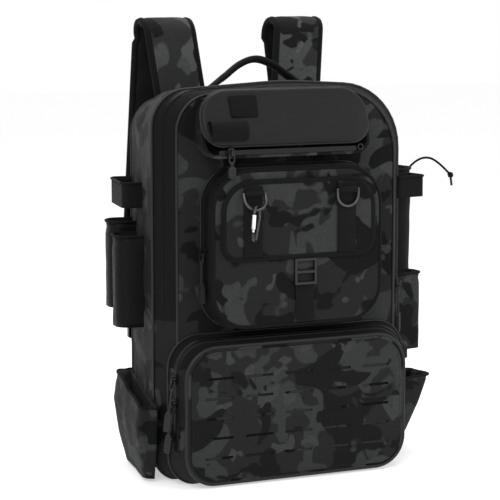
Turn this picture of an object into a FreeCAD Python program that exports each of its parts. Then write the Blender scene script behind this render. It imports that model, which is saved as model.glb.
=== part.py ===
import FreeCAD, Part
import math
import os
import re
import Sketcher

# Tackle backpack, standing on its base. Millimetres, +X to the bag's right side as seen from the front,
# +Y towards the wearer, +Z up. The origin is on the floor, in the middle between the two sides.

Vector = FreeCAD.Vector

sizes = {
    # the bag's soft boxes: half widths, heights and depths, front faces measured forwards from the origin
    "bag_high": 497, "face_half": 150, "side_half": 170, "back_half": 150, "face_front": 90,
    "panel_thick": 6, "seam_front": 60, "back_depth": 66, "back_drop": 17, "face_drop": 6, "face_rise": 6,
    "corner_left": 46, "corner_right": 84, "corner_low": 36, "crown_drop": 10, "crown_round": 560,
    "soft_gap": 0.3, "cloth": 3, "base_cut": 0.5,
    # back cushions
    "frame_sheet": 6, "frame_low": 30, "frame_high": 452, "frame_half": 142, "frame_round": 30,
    "pad_thick": 12, "pad_half": 32, "pad_middle": 70, "pad_low": 150, "pad_high": 430, "pad_round": 24,
    "pad_crown": 8, "lumbar_half": 110, "lumbar_low": 48, "lumbar_high": 128,
    # shoulder straps and their webbing
    "strap_thick": 11, "strap_wide": 64, "strap_middle": 80, "strap_lean": 13, "strap_shift": 6,
    "strap_top": 575, "strap_root": 462, "strap_rake": 14, "strap_loop": 50, "strap_bend": 22,
    "strap_low": 176, "strap_back": 105, "strap_spread": 34,
    "webbing_wide": 25, "webbing_thick": 1.7, "adjuster_high": 22, "adjuster_rim": 4.5, "adjuster_thick": 6,
    "lower_anchor_high": 60,
    # carry handle
    "handle_half": 80, "handle_high": 51, "handle_thick": 8, "handle_wide": 22, "handle_y": 6,
    "handle_foot": 26, "handle_round": 70, "handle_base": 483,
    # moulded case at the top of the front
    "case_middle": -13, "case_half": 113, "case_low": 408, "case_high": 489, "case_front": 118,
    "case_lip": 14, "case_top_front": 94, "case_round_low": 20, "case_round_high": 36, "case_wall": 3.5,
    "lid_thick": 9, "lid_wall": 2.5, "lid_edge": 6.5, "lid_clear": 0.4,
    "tool_half": 24, "tool_low": 4, "tool_high": 31, "tool_out": 13, "tool_place": -83,
    "tab_half": 18, "tab_low": 34, "tab_high": 62, "tab_thick": 2.4, "tab_place": -57,
    # middle pocket
    "mid_half": 114, "mid_low": 199, "mid_high": 392, "mid_front": 122, "mid_flare": 5,
    "mid_round_low": 44, "mid_round_high": 48,
    "flap_half": 105, "flap_low": 281, "flap_high": 381, "flap_thick": 3, "flap_round_low": 22,
    "flap_round_high": 40, "ring_place": 64, "ring_high": 365, "web_low": 286, "web_high": 374,
    "ring_half": 14.4, "ring_drop": 21, "ring_wire": 3.6, "ring_play": 0.35, "loop_wall": 1.6,
    "buckle_place": 8, "buckle_half": 15, "buckle_low": 248, "buckle_high": 281, "buckle_thick": 4,
    "buckle_rim": 3.2, "buckle_bar": 264,
    # carabiner: link with a gate and a locking sleeve
    "link_wire": 4, "link_high": 44, "link_top": 24, "link_foot": 10, "link_lean": 21, "link_twist": 48,
    "link_offset": 2, "link_play": 0.6, "ring_lean": 24, "nose_half": 11, "nose_low": 12,
    "foot_half": 7.5, "gate_low": 36, "gate_wire": 3.2, "gate_bevel": 1.25, "sleeve_wall": 0.9, "sleeve_play": 0.15,
    "sleeve_high": 17, "sleeve_drop": 2,
    # bottom pocket with its slotted sheet
    "low_half": 150, "low_low": 5, "low_high": 176, "low_front": 122, "low_flare": 13, "low_rear_high": 189,
    "low_round_low": 38, "low_round_high": 40,
    "sheet_thick": 1.6, "sheet_edge": 5, "slot_long": 38, "slot_high": 3.4, "slot_pitch": 54,
    "slot_rise": 25, "slot_columns": 5, "slot_rows": 5, "slot_first": 36,
    # zips
    "track_out": 1.6, "track_wide": 6, "slider_wide": 9, "slider_long": 12, "slider_thick": 3.4,
    "arch_long": 8, "arch_wide": 2.6, "arch_high": 3.6, "arch_wall": 1.3, "pull_thick": 1.5,
    "pull_wide": 8, "pull_ring": 9, "pull_neck": 2.6, "pull_seat": 1.45, "grip_long": 26, "grip_wide": 9.5,
    "grip_thick": 4.2, "grip_groove": 0.8, "grip_pitch": 3.6, "grip_ribs": 6,
    "pull_long": 62, "case_pull_long": 29, "case_grip_long": 15, "case_grip_ribs": 3, "slider_gap": 0.3,
    "low_slider_high": 137, "second_slider_high": 107, "pull_lift": 11,
    "pull_swing": 9, "mid_slider_high": 293, "main_slider_high": 232,
    "case_slider_place": -92, "main_track_low": 215,
    # left side: rod strap, two rod sleeves, lower pocket
    "rod_strap_y": 26, "rod_strap_low": 340, "rod_strap_high": 371, "rod_strap_half": 40, "rod_strap_out": 28,
    "strap_cloth": 2.4, "strap_tail": 24,
    "tube_half": 21, "tube_out": 38, "tube_wall": 2.5, "tube_front_y": -2, "tube_front_low": 190, "tube_front_high": 305,
    "tube_rear_y": 43, "tube_rear_low": 208, "tube_rear_high": 318,
    "side_pocket_half": 80, "side_pocket_out": 27, "side_pocket_low": 4, "side_pocket_high": 110,
    "side_pocket_foot": 60, "side_pocket_foot_out": 14, "side_pocket_round": 12, "side_pocket_y": -4,
    # right side: bottle pocket, rod strap, rod sleeve, lower pocket
    "right_rod_y": -46, "right_tube_half": 14, "right_tube_out": 44, "right_tube_low": 140, "right_tube_high": 241,
    "right_strap_low": 342, "right_strap_high": 369, "right_strap_half": 17, "right_strap_out": 44,
    "funnel_half": 24, "funnel_out": 56, "funnel_foot": 19, "funnel_foot_out": 17, "funnel_low": 28,
    "funnel_high": 104, "funnel_round": 9,
    "bottle_y": 10, "bottle_half": 35, "bottle_out": 66, "bottle_low": 118, "bottle_high": 374,
    "bottle_round": 31, "cord_wide": 3, "knot_wide": 8.5, "eyelet_wide": 9, "eyelet_thick": 3,
}

document = FreeCAD.newDocument("tackle_backpack")
sheet = document.addObject("Spreadsheet::Sheet", "Sizes")
for row, (alias, value) in enumerate(sizes.items(), start=1):
    sheet.set(f"A{row}", alias)
    sheet.set(f"B{row}", str(value))
    sheet.setAlias(f"B{row}", alias)
document.recompute()

words = re.compile(r"\b(" + "|".join(sizes) + r")\b")


def bound(text):
    return words.sub(r"Sizes.\1", str(text))


def number(text):
    return float(sheet.evalExpression(bound(text)))


# Helpers: bodies, sketches and features whose sizes are expressions on the sheet


nodes = []


def place(item, x="0", y="0", z="0", yaw="0", pitch="0", roll="0"):
    # turned by roll, then pitch, then yaw about its own origin, then moved to x, y, z
    base = f"vector({bound(x)}; {bound(y)}; {bound(z)})"
    turn = f"rotation({bound(yaw)}; {bound(pitch)}; {bound(roll)})"
    item.setExpression("Placement", f"placement({base}; {turn})")


def new_body(label, **spot):
    body = document.addObject("PartDesign::Body", label)
    body.Label = label
    place(body, **spot)
    nodes.append(body)
    return body


def new_sketch(body, plane, offset="0"):
    sketch = body.newObject("Sketcher::SketchObject", body.Label + "_sketch")
    origin_plane = [item for item in body.Origin.OriginFeatures if item.Role == plane][0]
    sketch.AttachmentSupport = [(origin_plane, "")]
    sketch.MapMode = "FlatFace"
    sketch.setExpression("AttachmentOffset.Base.z", bound(offset))
    return sketch


def hold_point(sketch, spot, x, y):
    for kind, value in (("DistanceX", x), ("DistanceY", y)):
        index = sketch.addConstraint(Sketcher.Constraint(kind, -1, 1, spot, 1, number(value)))
        sketch.setExpression(f"Constraints[{index}]", bound(value))


def outline(sketch, corners, closed=True):
    # corners are (across, up, rounding); straight lines join them, tangent arcs round them
    points = [Vector(number(x), number(y), 0) for x, y, r in corners]
    rounds = [number(r) for x, y, r in corners]
    count = len(corners)
    ends = () if closed else (0, count - 1)
    cuts = []
    for i in range(count):
        if i in ends:
            cuts.append((points[i], points[i], None, None, 0))
            continue
        before = (points[i - 1] - points[i]).normalize()
        after = (points[(i + 1) % count] - points[i]).normalize()
        half = before.getAngle(after) / 2
        back = rounds[i] / math.tan(half) if rounds[i] else 0
        cuts.append((points[i] + before * back, points[i] + after * back, before, after, half))
    lines = []
    for i in range(count if closed else count - 1):
        line = Part.LineSegment(cuts[i][1], cuts[(i + 1) % count][0])
        lines.append(sketch.addGeometry(line))
    for i, (x, y, r) in enumerate(corners):
        before = None if i in ends[:1] else lines[i - 1]
        after = None if i in ends[1:] else lines[i]
        spot = sketch.addGeometry(Part.Point(points[i]), True)
        hold_point(sketch, spot, x, y)
        if rounds[i] and i not in ends:
            start, stop, towards, away, half = cuts[i]
            centre = points[i] + (towards + away).normalize() * (rounds[i] / math.sin(half))
            circle = Part.Circle(centre, Vector(0, 0, 1), rounds[i])
            first, second = circle.parameter(start), circle.parameter(stop)
            if towards.cross(away).z > 0:
                first, second = second, first
            arc = sketch.addGeometry(Part.ArcOfCircle(circle, first, second))
            near = 1 if sketch.Geometry[arc].StartPoint.distanceToPoint(start) < 1e-6 else 2
            sketch.addConstraint(Sketcher.Constraint("Tangent", before, 2, arc, near))
            sketch.addConstraint(Sketcher.Constraint("Tangent", arc, 3 - near, after, 1))
            sketch.addConstraint(Sketcher.Constraint("PointOnObject", spot, 1, before))
            sketch.addConstraint(Sketcher.Constraint("PointOnObject", spot, 1, after))
            index = sketch.addConstraint(Sketcher.Constraint("Radius", arc, number(r)))
            sketch.setExpression(f"Constraints[{index}]", bound(r))
            continue
        if before is not None:
            sketch.addConstraint(Sketcher.Constraint("Coincident", before, 2, spot, 1))
        if after is not None:
            sketch.addConstraint(Sketcher.Constraint("Coincident", after, 1, spot, 1))
    return sketch


def circle(sketch, x, y, radius):
    ring = sketch.addGeometry(Part.Circle(Vector(number(x), number(y), 0), Vector(0, 0, 1), number(radius)))
    for kind, value in (("DistanceX", x), ("DistanceY", y)):
        index = sketch.addConstraint(Sketcher.Constraint(kind, -1, 1, ring, 3, number(value)))
        sketch.setExpression(f"Constraints[{index}]", bound(value))
    index = sketch.addConstraint(Sketcher.Constraint("Radius", ring, number(radius)))
    sketch.setExpression(f"Constraints[{index}]", bound(radius))
    return sketch


def box_corners(left, right, low, high, low_round="0", high_round="0"):
    return [(left, low, low_round), (right, low, low_round), (right, high, high_round), (left, high, high_round)]


def pad(body, sketch, length, both=False, backwards=False):
    feature = body.newObject("PartDesign::Pad", body.Label + "_pad")
    feature.Profile = sketch
    feature.SideType = "Symmetric" if both else "One side"
    feature.Reversed = backwards
    feature.setExpression("Length", bound(length))
    document.recompute()
    return feature


def cut(body, sketch, length=None, both=False, backwards=False):
    # a pocket that must take something away
    volume = body.Shape.Volume
    feature = body.newObject("PartDesign::Pocket", body.Label + "_pocket")
    feature.Profile = sketch
    feature.SideType = "Symmetric" if both else "One side"
    feature.Reversed = backwards
    if length is None:
        feature.Type = "ThroughAll"
    else:
        feature.setExpression("Length", bound(length))
    document.recompute()
    if not body.Shape.Volume < volume - 0.01:
        raise ValueError(body.Label + ": a pocket cuts nothing")
    return feature


def loft(body, first, *others, subtract=False):
    volume = body.Shape.Volume if subtract else 0
    kind = "SubtractiveLoft" if subtract else "AdditiveLoft"
    feature = body.newObject("PartDesign::" + kind, body.Label + "_loft")
    feature.Profile = first
    feature.Sections = list(others)
    feature.Ruled = True
    document.recompute()
    if subtract and not body.Shape.Volume < volume - 0.01:
        raise ValueError(body.Label + ": a hollow cuts nothing")
    return feature


def bevel_edges(body, size, chosen):
    base = body.Tip
    names = [f"Edge{i}" for i, edge in enumerate(base.Shape.Edges, start=1) if chosen(edge)]
    if not names:
        raise ValueError(body.Label + ": no edge to bevel")
    feature = body.newObject("PartDesign::Chamfer", body.Label + "_bevel")
    feature.Base = (base, names)
    feature.setExpression("Size", bound(size))
    document.recompute()
    return feature


def edges_at(axis, place):
    # edges that lie wholly in one plane of the body's own axes
    value = number(place)

    def chosen(edge):
        low = getattr(edge.BoundBox, axis + "Min")
        high = getattr(edge.BoundBox, axis + "Max")
        return abs(low - value) < 1e-4 and abs(high - value) < 1e-4

    return chosen


def repeat(body, feature, axis, length, count):
    pattern = body.newObject("PartDesign::LinearPattern", body.Label + "_pattern")
    pattern.Originals = [feature]
    line = [item for item in body.Origin.OriginFeatures if item.Role == axis][0]
    pattern.Direction = (line, [""])
    pattern.setExpression("Length", bound(length))
    pattern.setExpression("Occurrences", bound(count))
    body.Tip = pattern
    document.recompute()
    return pattern


def new_part(kind, label, spot, **values):
    shape = document.addObject(kind, label)
    for key, text in values.items():
        shape.setExpression(key, bound(text))
    place(shape, **spot)
    return shape


def join(label, pieces, **spot):
    joined = document.addObject("Part::MultiFuse", label)
    joined.Label = label
    joined.Shapes = pieces
    place(joined, **spot)
    document.recompute()
    nodes.append(joined)
    return joined


def pipe(body, path, *rings, subtract=False):
    kind = "SubtractivePipe" if subtract else "AdditivePipe"
    feature = body.newObject("PartDesign::" + kind, body.Label + "_pipe")
    feature.Profile = rings[0]
    feature.Spine = path
    document.recompute()
    return feature


def plate(label, corners, front, thick, bevel=None):
    # a flat piece whose outline is seen from the front; "front" is how far forward its front face is
    body = new_body(label)
    pad(body, outline(new_sketch(body, "XZ_Plane", f"({front})-({thick})"), corners), thick)
    if bevel:
        bevel_edges(body, bevel, edges_at("Y", f"-({front})"))
    return body


# Bag: rear compartment, front compartment gusset and front panel


def bag_outline(half, high, drop="crown_drop", low="0", inset="0"):
    side = f"({half})-({inset})"
    return [
        (f"-({side})", f"({low})+({inset})", f"corner_low-({inset})"),
        (side, f"({low})+({inset})", f"corner_low-({inset})"),
        (side, f"({high})-({drop})-({inset})", f"corner_right-({inset})"),
        ("face_rise", f"({high})-({inset})", f"crown_round-({inset})"),
        (f"-({side})", f"({high})-({drop})-({inset})", f"corner_left-({inset})"),
    ]


rear = new_body("rear_compartment")
rear_front = outline(
    new_sketch(rear, "XZ_Plane", "seam_front"), bag_outline("side_half", "bag_high", low="-base_cut"))
rear_back = outline(new_sketch(rear, "XZ_Plane", "-back_depth"),
                    bag_outline("back_half", "bag_high-back_drop", low="-base_cut"))
loft(rear, rear_front, rear_back)
# its underside is one flat face on the floor
base = new_sketch(rear, "XZ_Plane", "2*face_front")
cut(rear, outline(base, box_corners("-side_half", "side_half", "-2*base_cut", "0")))

front_gusset = new_body("front_gusset")
gusset_back = outline(
    new_sketch(front_gusset, "XZ_Plane", "seam_front"), bag_outline("side_half", "bag_high"))
gusset_front = outline(
    new_sketch(front_gusset, "XZ_Plane", "face_front-panel_thick"),
    bag_outline("face_half", "bag_high-face_drop/2"))
loft(front_gusset, gusset_back, gusset_front)

front_panel = plate(
    "front_panel", bag_outline("face_half-soft_gap", "bag_high-face_drop", low="soft_gap"),
    "face_front", "panel_thick", "panel_thick/3")


# Back: stiff sheet and three cushions


def cushion(label, left, right, low, high):
    # a pad sewn to the back sheet: rim drawn in at the seam, widest at a third, then crowned
    body = new_body(label)
    layers = []
    for share, inset in (("0", "pad_crown/3"), ("0.35", "0"), ("0.8", "pad_crown/2"), ("1", "pad_crown*1.6")):
        layer = new_sketch(body, "XZ_Plane", f"-(back_depth+frame_sheet+pad_thick*{share})")
        corner = f"pad_round-{inset}"
        layers.append(outline(layer, box_corners(
            f"{left}+{inset}", f"{right}-{inset}", f"{low}+{inset}", f"{high}-{inset}", corner, corner)))
    loft(body, *layers)
    return body


back_sheet = new_body("back_sheet")
back_face = new_sketch(back_sheet, "XZ_Plane", "-back_depth")
outline(back_face, box_corners("-frame_half", "frame_half", "frame_low", "frame_high", "frame_round",
                               "frame_round"))
pad(back_sheet, back_face, "frame_sheet", backwards=True)
cushion("back_pad_left", "-pad_middle-pad_half", "-pad_middle+pad_half", "pad_low", "pad_high")
cushion("back_pad_right", "pad_middle-pad_half", "pad_middle+pad_half", "pad_low", "pad_high")
cushion("lumbar_pad", "-lumbar_half", "lumbar_half", "lumbar_low", "lumbar_high")


# Shoulder straps: a padded ribbon that rises from the top of the back, folds over and comes down
# behind the cushions. The ribbon is bent in the side view, then cut to its plan from the front.


strap_fold = "back_depth+soft_gap+strap_rake"
strap_behind = strap_fold + "+strap_loop"


def shoulder_strap(label, side, shift):
    body = new_body(label)
    bent = new_sketch(body, "YZ_Plane")
    outline(bent, [
        ("back_depth+soft_gap", "strap_root", "0"),
        (strap_fold, "strap_top", "strap_bend"),
        (strap_behind, "strap_top", "strap_bend"),
        ("strap_back", "strap_low", "0"),
        ("strap_back-strap_thick", "strap_low", "0"),
        (strap_behind + "-strap_thick", "strap_top-strap_thick", "strap_bend-strap_thick"),
        (strap_fold + "+strap_thick", "strap_top-strap_thick", "strap_bend-strap_thick"),
        ("back_depth+soft_gap+strap_thick", "strap_root", "0"),
    ])
    pad(body, bent, "4*strap_middle+4*strap_wide", both=True)
    low, high, half = "strap_root-1", "strap_top+1", "strap_wide/2"
    foot = f"{side}*strap_middle+{shift}"
    crown = f"{side}*(strap_middle+strap_lean)+{shift}"
    end = f"{side}*(strap_middle+strap_lean+strap_spread)"
    split = strap_fold + "+strap_thick"
    far = "3*strap_middle+3*strap_wide"
    for sign in ("-1", "1"):
        edge_foot, edge_crown = f"{foot}+{sign}*{half}", f"{crown}+{sign}*{half}"
        waste = new_sketch(body, "XZ_Plane", f"-({split})")
        outline(waste, [(edge_foot, low, "0"), (f"{sign}*({far})", low, "0"),
                        (f"{sign}*({far})", high, "0"), (edge_crown, high, "0")])
        cut(body, waste, backwards=True)
        edge_end = f"{end}+{sign}*{half}*0.8"
        waste = new_sketch(body, "XZ_Plane", f"-({split})")
        outline(waste, [(edge_end, "strap_low-1", "0"), (f"{sign}*({far})", "strap_low-1", "0"),
                        (f"{sign}*({far})", high, "0"), (edge_crown, high, "0")])
        cut(body, waste)
    return body


shoulder_strap("shoulder_strap_left", "-1", "strap_shift/2")
shoulder_strap("shoulder_strap_right", "1", "strap_shift")


# Carry handle: a padded bow over the top with two flat feet


# it leans with the crown, and the crown's shape is taken out of its feet, so that they lie flat
handle = new_body("handle_bow", y="handle_y", z="handle_base", roll="-atan(back_drop/(seam_front+back_depth))")
nodes.remove(handle)
bow = new_sketch(handle, "XZ_Plane", "-handle_wide/2")
outline(bow, [
    ("-handle_half-handle_foot/2", "0", "0"),
    ("-handle_half+handle_foot/2", "0", "handle_round/2"),
    ("0", "handle_high-handle_thick", "handle_round"),
    ("handle_half-handle_foot/2", "0", "handle_round/2"),
    ("handle_half+handle_foot/2", "0", "0"),
    ("handle_half+handle_foot/2", "webbing_thick", "0"),
    ("handle_half-handle_foot/4", "webbing_thick", "handle_round/4"),
    ("0", "handle_high+handle_thick/2", "handle_round"),
    ("-handle_half+handle_foot/4", "webbing_thick", "handle_round/4"),
    ("-handle_half-handle_foot/2", "webbing_thick", "0"),
])
pad(handle, bow, "handle_wide")
trimmed = document.addObject("Part::Cut", "carry_handle")
trimmed.Label = "carry_handle"
trimmed.Base, trimmed.Tool = handle, rear
document.recompute()
nodes.append(trimmed)


# Moulded case: a wedge tray on the front panel, a domed lid hinged along its top edge, a tool sleeve


case_slope = "(case_front-case_top_front)/(case_high-case_low-case_lip)"
case_tilt = f"atan({case_slope})"
lid_high = f"(case_high-case_low-case_lip)/cos({case_tilt})"
case_left, case_right = "case_middle-case_half", "case_middle+case_half"

case_base = new_body("case_base")
case_outline = new_sketch(case_base, "XZ_Plane", "face_front")
outline(case_outline, box_corners(case_left, case_right, "case_low", "case_high", "case_round_low",
                                  "case_round_high"))
pad(case_base, case_outline, "case_front-face_front")
slant = new_sketch(case_base, "YZ_Plane", "case_middle")
outline(slant, [
    ("-case_front", "case_low+case_lip", "0"),
    (f"-case_front+{case_slope}*(case_high-case_low)", "case_high+case_lip", "0"),
    ("-case_front-case_lip", "case_high+case_lip", "0"),
    ("-case_front-case_lip", "case_low+case_lip", "0"),
])
cut(case_base, slant, "3*case_half", both=True)
case_hollow = new_sketch(case_base, "XZ_Plane", "face_front+case_wall")
outline(case_hollow, box_corners(
    case_left + "+case_wall", case_right + "-case_wall", "case_low+case_wall", "case_high-case_wall",
    "case_round_low-case_wall", "case_round_high-case_wall"))
cut(case_base, case_hollow, backwards=True)

lid_place = {
    "x": "case_middle", "y": f"-case_front-lid_clear*cos({case_tilt})",
    "z": f"case_low+case_lip+lid_clear*sin({case_tilt})", "roll": f"-{case_tilt}",
}

# the lid is moulded: a domed face over a thin wall, open towards the tray
case_lid = new_body("case_lid", **lid_place)
lid_layers = []
for out, inset in (("0", "0"), ("lid_thick-lid_edge", "0"), ("lid_thick-lid_edge*0.3", "lid_edge*0.3"),
                   ("lid_thick", "lid_edge")):
    layer = new_sketch(case_lid, "XZ_Plane", out)
    lid_layers.append(outline(layer, box_corners(
        f"-case_half+{inset}", f"case_half-{inset}", inset, f"{lid_high}-{inset}",
        f"case_round_low+6-{inset}", f"case_round_high-{inset}")))
loft(case_lid, *lid_layers)
lid_inside = [
    outline(new_sketch(case_lid, "XZ_Plane", out), box_corners(
        f"-case_half+{inset}", f"case_half-{inset}", inset, f"{lid_high}-{inset}",
        f"case_round_low+6-{inset}", f"case_round_high-{inset}"))
    for out, inset in (("0", "lid_wall"), ("lid_thick-lid_edge", "lid_wall"),
                       ("lid_thick-lid_wall", "lid_wall+lid_edge*0.8"))]
loft(case_lid, *lid_inside, subtract=True)

# the tool sleeve is a half-round pocket on the lid, open at the end that faces the middle of the bag
tool_sleeve = new_body("tool_sleeve", **lid_place)
for inset, remove in (("0", False), ("cloth/2", True)):
    start = "tool_place-tool_half" if not remove else "tool_place-tool_half+cloth/2"
    section = new_sketch(tool_sleeve, "YZ_Plane", start)
    outline(section, [
        (f"-lid_thick-{inset}", f"tool_low+{inset}", "0"),
        (f"-lid_thick-tool_out+{inset}", f"tool_low+{inset}", f"tool_out*0.8-{inset}"),
        (f"-lid_thick-tool_out+{inset}", f"tool_high-{inset}", f"tool_out*0.8-{inset}"),
        (f"-lid_thick-{inset}", f"tool_high-{inset}", "0"),
    ])
    if remove:
        cut(tool_sleeve, section, backwards=True)
    else:
        pad(tool_sleeve, section, "2*tool_half")

tool_flap = new_body("tool_sleeve_flap", **lid_place)
pad(tool_flap, outline(new_sketch(tool_flap, "XZ_Plane", "lid_thick"), box_corners(
    "tab_place-tab_half", "tab_place+tab_half", "tab_low", "tab_high", "cloth", "cloth")), "tab_thick")


# Middle pocket: hollow gusset, hinged front panel, flap with webbing, rings and strap frame


def hollow_gusset(label, rear, front, wall, rear_front, face, front_drop):
    # walls that flare towards the bag; the back is closed, the front is open
    body = new_body(label)
    loft(body, outline(new_sketch(body, "XZ_Plane", rear_front), rear("0")),
         outline(new_sketch(body, "XZ_Plane", f"{face}-{front_drop}"), front("0")))
    loft(body, outline(new_sketch(body, "XZ_Plane", f"{rear_front}+{wall}"), front(f"{wall}")),
         outline(new_sketch(body, "XZ_Plane", f"{face}"), front(f"{wall}")), subtract=True)
    return body


def mid_outline(inset, flare="0"):
    return box_corners(
        f"-mid_half-{flare}+{inset}", f"mid_half+{flare}-{inset}", f"mid_low-{flare}+{inset}",
        f"mid_high+{flare}-{inset}", f"mid_round_low-{inset}", f"mid_round_high-{inset}")


hollow_gusset("mid_gusset", lambda inset: mid_outline(inset, "mid_flare"), mid_outline, "cloth",
              "face_front", "mid_front", "(panel_thick+soft_gap)")
plate("mid_panel", mid_outline("0"), "mid_front", "panel_thick", "panel_thick/3")

flap_front = "mid_front+soft_gap+flap_thick"
plate("front_flap", box_corners("-flap_half", "flap_half", "flap_low", "flap_high", "flap_round_low",
                                "flap_round_high"), flap_front, "flap_thick")

# webbing on the flap, with the fold that holds the ring's straight side
ring_y = f"-({flap_front}+webbing_thick+ring_wire/2+ring_play+loop_wall/8)"
for side, sign in (("left", "-1"), ("right", "1")):
    webbing = new_body(f"flap_webbing_{side}", x=f"{sign}*ring_place")
    band = new_sketch(webbing, "YZ_Plane")
    outline(band, box_corners(f"-({flap_front}+webbing_thick)", f"-({flap_front})", "web_low", "web_high"))
    pad(webbing, band, "webbing_wide", both=True)
    fold = circle(new_sketch(webbing, "YZ_Plane"), ring_y, "ring_high", "ring_wire/2+ring_play+loop_wall")
    pad(webbing, fold, "webbing_wide", both=True)
    bore = circle(new_sketch(webbing, "YZ_Plane"), ring_y, "ring_high", "ring_wire/2+ring_play")
    cut(webbing, bore, "2*webbing_wide", both=True)

    # ring: round wire bent to a D, its straight side in the fold; the left one leans on its link
    bow = new_part("Part::Torus", f"ring_bow_{side}", {"z": "-ring_drop+ring_half", "roll": "-90"},
                   Radius1="ring_half", Radius2="ring_wire/2", Angle3="180")
    wires = [bow]
    for end in ("-1", "1"):
        wires.append(new_part(
            "Part::Cylinder", f"ring_leg_{side}", {"x": f"{end}*ring_half", "z": "-ring_drop+ring_half"},
            Radius="ring_wire/2", Height="ring_drop-ring_half"))
        wires.append(new_part("Part::Sphere", f"ring_knuckle_{side}", {"x": f"{end}*ring_half"},
                              Radius="ring_wire/2"))
    wires.append(new_part("Part::Cylinder", f"ring_bar_{side}", {"x": "-ring_half", "pitch": "90"},
                          Radius="ring_wire/2", Height="2*ring_half"))
    join(f"d_ring_{side}", wires, x=f"{sign}*ring_place", y=ring_y, z="ring_high",
         roll="-ring_lean" if side == "left" else "0")

# strap frame hanging under the flap's edge, and the strap that comes up to it from the pocket's foot
frame = plate("strap_frame", box_corners(
    "buckle_place-buckle_half", "buckle_place+buckle_half", "buckle_low", "buckle_high", "cloth/2",
    "cloth/2"), "mid_front+soft_gap+buckle_thick", "buckle_thick")
for low, high in (("buckle_low+buckle_rim", "buckle_bar-buckle_rim/2"),
                  ("buckle_bar+buckle_rim/2", "buckle_high-buckle_rim")):
    window = new_sketch(frame, "XZ_Plane", "mid_front-buckle_thick")
    outline(window, box_corners("buckle_place-buckle_half+buckle_rim", "buckle_place+buckle_half-buckle_rim",
                                low, high, "cloth/4", "cloth/4"))
    cut(frame, window, "3*buckle_thick", backwards=True)
plate("compression_strap", box_corners(
    "buckle_place-webbing_wide/2", "buckle_place+webbing_wide/2", "mid_low+panel_thick/2",
    "buckle_low-soft_gap"), "mid_front+webbing_thick", "webbing_thick")


# Bottom pocket: hollow gusset, hinged front panel, and the laser-cut sheet with its rows of slots


def low_outline(inset, flare="0", high="low_high", low="low_low"):
    return box_corners(
        f"-low_half-{flare}+{inset}", f"low_half+{flare}-{inset}", f"{low}+{inset}", f"{high}-{inset}",
        f"low_round_low-{inset}", f"low_round_high-{inset}")


hollow_gusset("bottom_gusset",
              lambda inset: low_outline(inset, "low_flare", "low_rear_high", "soft_gap"),
              low_outline, "cloth", "face_front", "low_front", "(panel_thick+soft_gap)")
plate("bottom_panel", low_outline("0"), "low_front", "panel_thick", "panel_thick/3")
slotted = plate("molle_sheet", low_outline("sheet_edge"), "low_front+sheet_thick", "sheet_thick")
slot = new_sketch(slotted, "XZ_Plane", "low_front-sheet_thick")
first_slot = "-slot_pitch*(slot_columns-1)/2"
outline(slot, box_corners(
    f"{first_slot}-slot_long/2", f"{first_slot}+slot_long/2", "slot_first", "slot_first+slot_high",
    "slot_high*0.49", "slot_high*0.49"))
first_cut = cut(slotted, slot, "4*sheet_thick", backwards=True)
across = slotted.newObject("PartDesign::MultiTransform", "slot_grid")
across.Originals = [first_cut]
steps = []
for axis, length, count in (("X_Axis", "slot_pitch*(slot_columns-1)", "slot_columns"),
                            ("Z_Axis", "slot_rise*(slot_rows-1)", "slot_rows")):
    step = slotted.newObject("PartDesign::LinearPattern", "slot_" + axis[0].lower())
    line = [item for item in slotted.Origin.OriginFeatures if item.Role == axis][0]
    step.Direction = (line, [""])
    step.setExpression("Length", bound(length))
    step.setExpression("Occurrences", bound(count))
    steps.append(step)
across.Transformations = steps
slotted.Tip = across
document.recompute()


# Carabiner: a bent wire link through the left ring, a gate on its pivot and the locking sleeve


link_x = "link_offset"
bow_rise = f"(ring_half-sqrt(ring_half*ring_half-{link_x}*{link_x}))"
link_reach = f"(ring_drop-{bow_rise}-(ring_wire+link_wire)/2-link_play)"
link_place = {
    "x": f"-ring_place+{link_x}", "y": f"{ring_y}-{link_reach}*sin(ring_lean)",
    "z": f"ring_high-{link_reach}*cos(ring_lean)", "yaw": "link_twist", "pitch": "link_lean",
}
gate_top = ("-nose_half", "-nose_low", "0")
gate_end = ("-foot_half", "-gate_low", "0")

link = new_body("carabiner_body", **link_place)
bent = new_sketch(link, "XZ_Plane")
outline(bent, [
    gate_top, ("-link_top/2", "0", "link_top*0.44"), ("link_top/2", "0", "link_top*0.44"),
    ("link_foot/2", "-link_high", "link_foot*0.45"), ("-link_foot/2", "-link_high", "link_foot*0.35"),
    gate_end], closed=False)
pipe(link, bent, circle(new_sketch(link, "XY_Plane", "-nose_low"), "-nose_half", "0", "link_wire/2"))

gate_line = [("-foot_half", "-gate_low+soft_gap", "0"), ("-nose_half", "-nose_low-soft_gap", "0")]
gate = new_body("carabiner_gate", **link_place)
straight = outline(new_sketch(gate, "XZ_Plane"), gate_line, closed=False)
pipe(gate, straight, circle(new_sketch(gate, "XY_Plane", "-gate_low+soft_gap"), "-foot_half", "0",
                            "gate_wire/2"))
bevel_edges(gate, "gate_bevel", edges_at("Z", "-gate_low+soft_gap"))
bevel_edges(gate, "gate_bevel", edges_at("Z", "-nose_low-soft_gap"))

# the sleeve follows the gate's slant: its ends lie at two heights on the gate's line
gate_slant = "(nose_half-foot_half)/(gate_low-nose_low)"
sleeve_low = "-nose_low-sleeve_drop-sleeve_high"
sleeve = new_body("gate_sleeve", **link_place)
low_x = f"-nose_half+{gate_slant}*(sleeve_drop+sleeve_high)"
straight = outline(new_sketch(sleeve, "XZ_Plane"), [
    (low_x, sleeve_low, "0"),
    (f"-nose_half+{gate_slant}*sleeve_drop", "-nose_low-sleeve_drop", "0")], closed=False)
tube = new_sketch(sleeve, "XY_Plane", sleeve_low)
circle(tube, low_x, "0", "gate_wire/2+sleeve_play+sleeve_wall")
circle(tube, low_x, "0", "gate_wire/2+sleeve_play")
pipe(sleeve, straight, tube)


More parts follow.
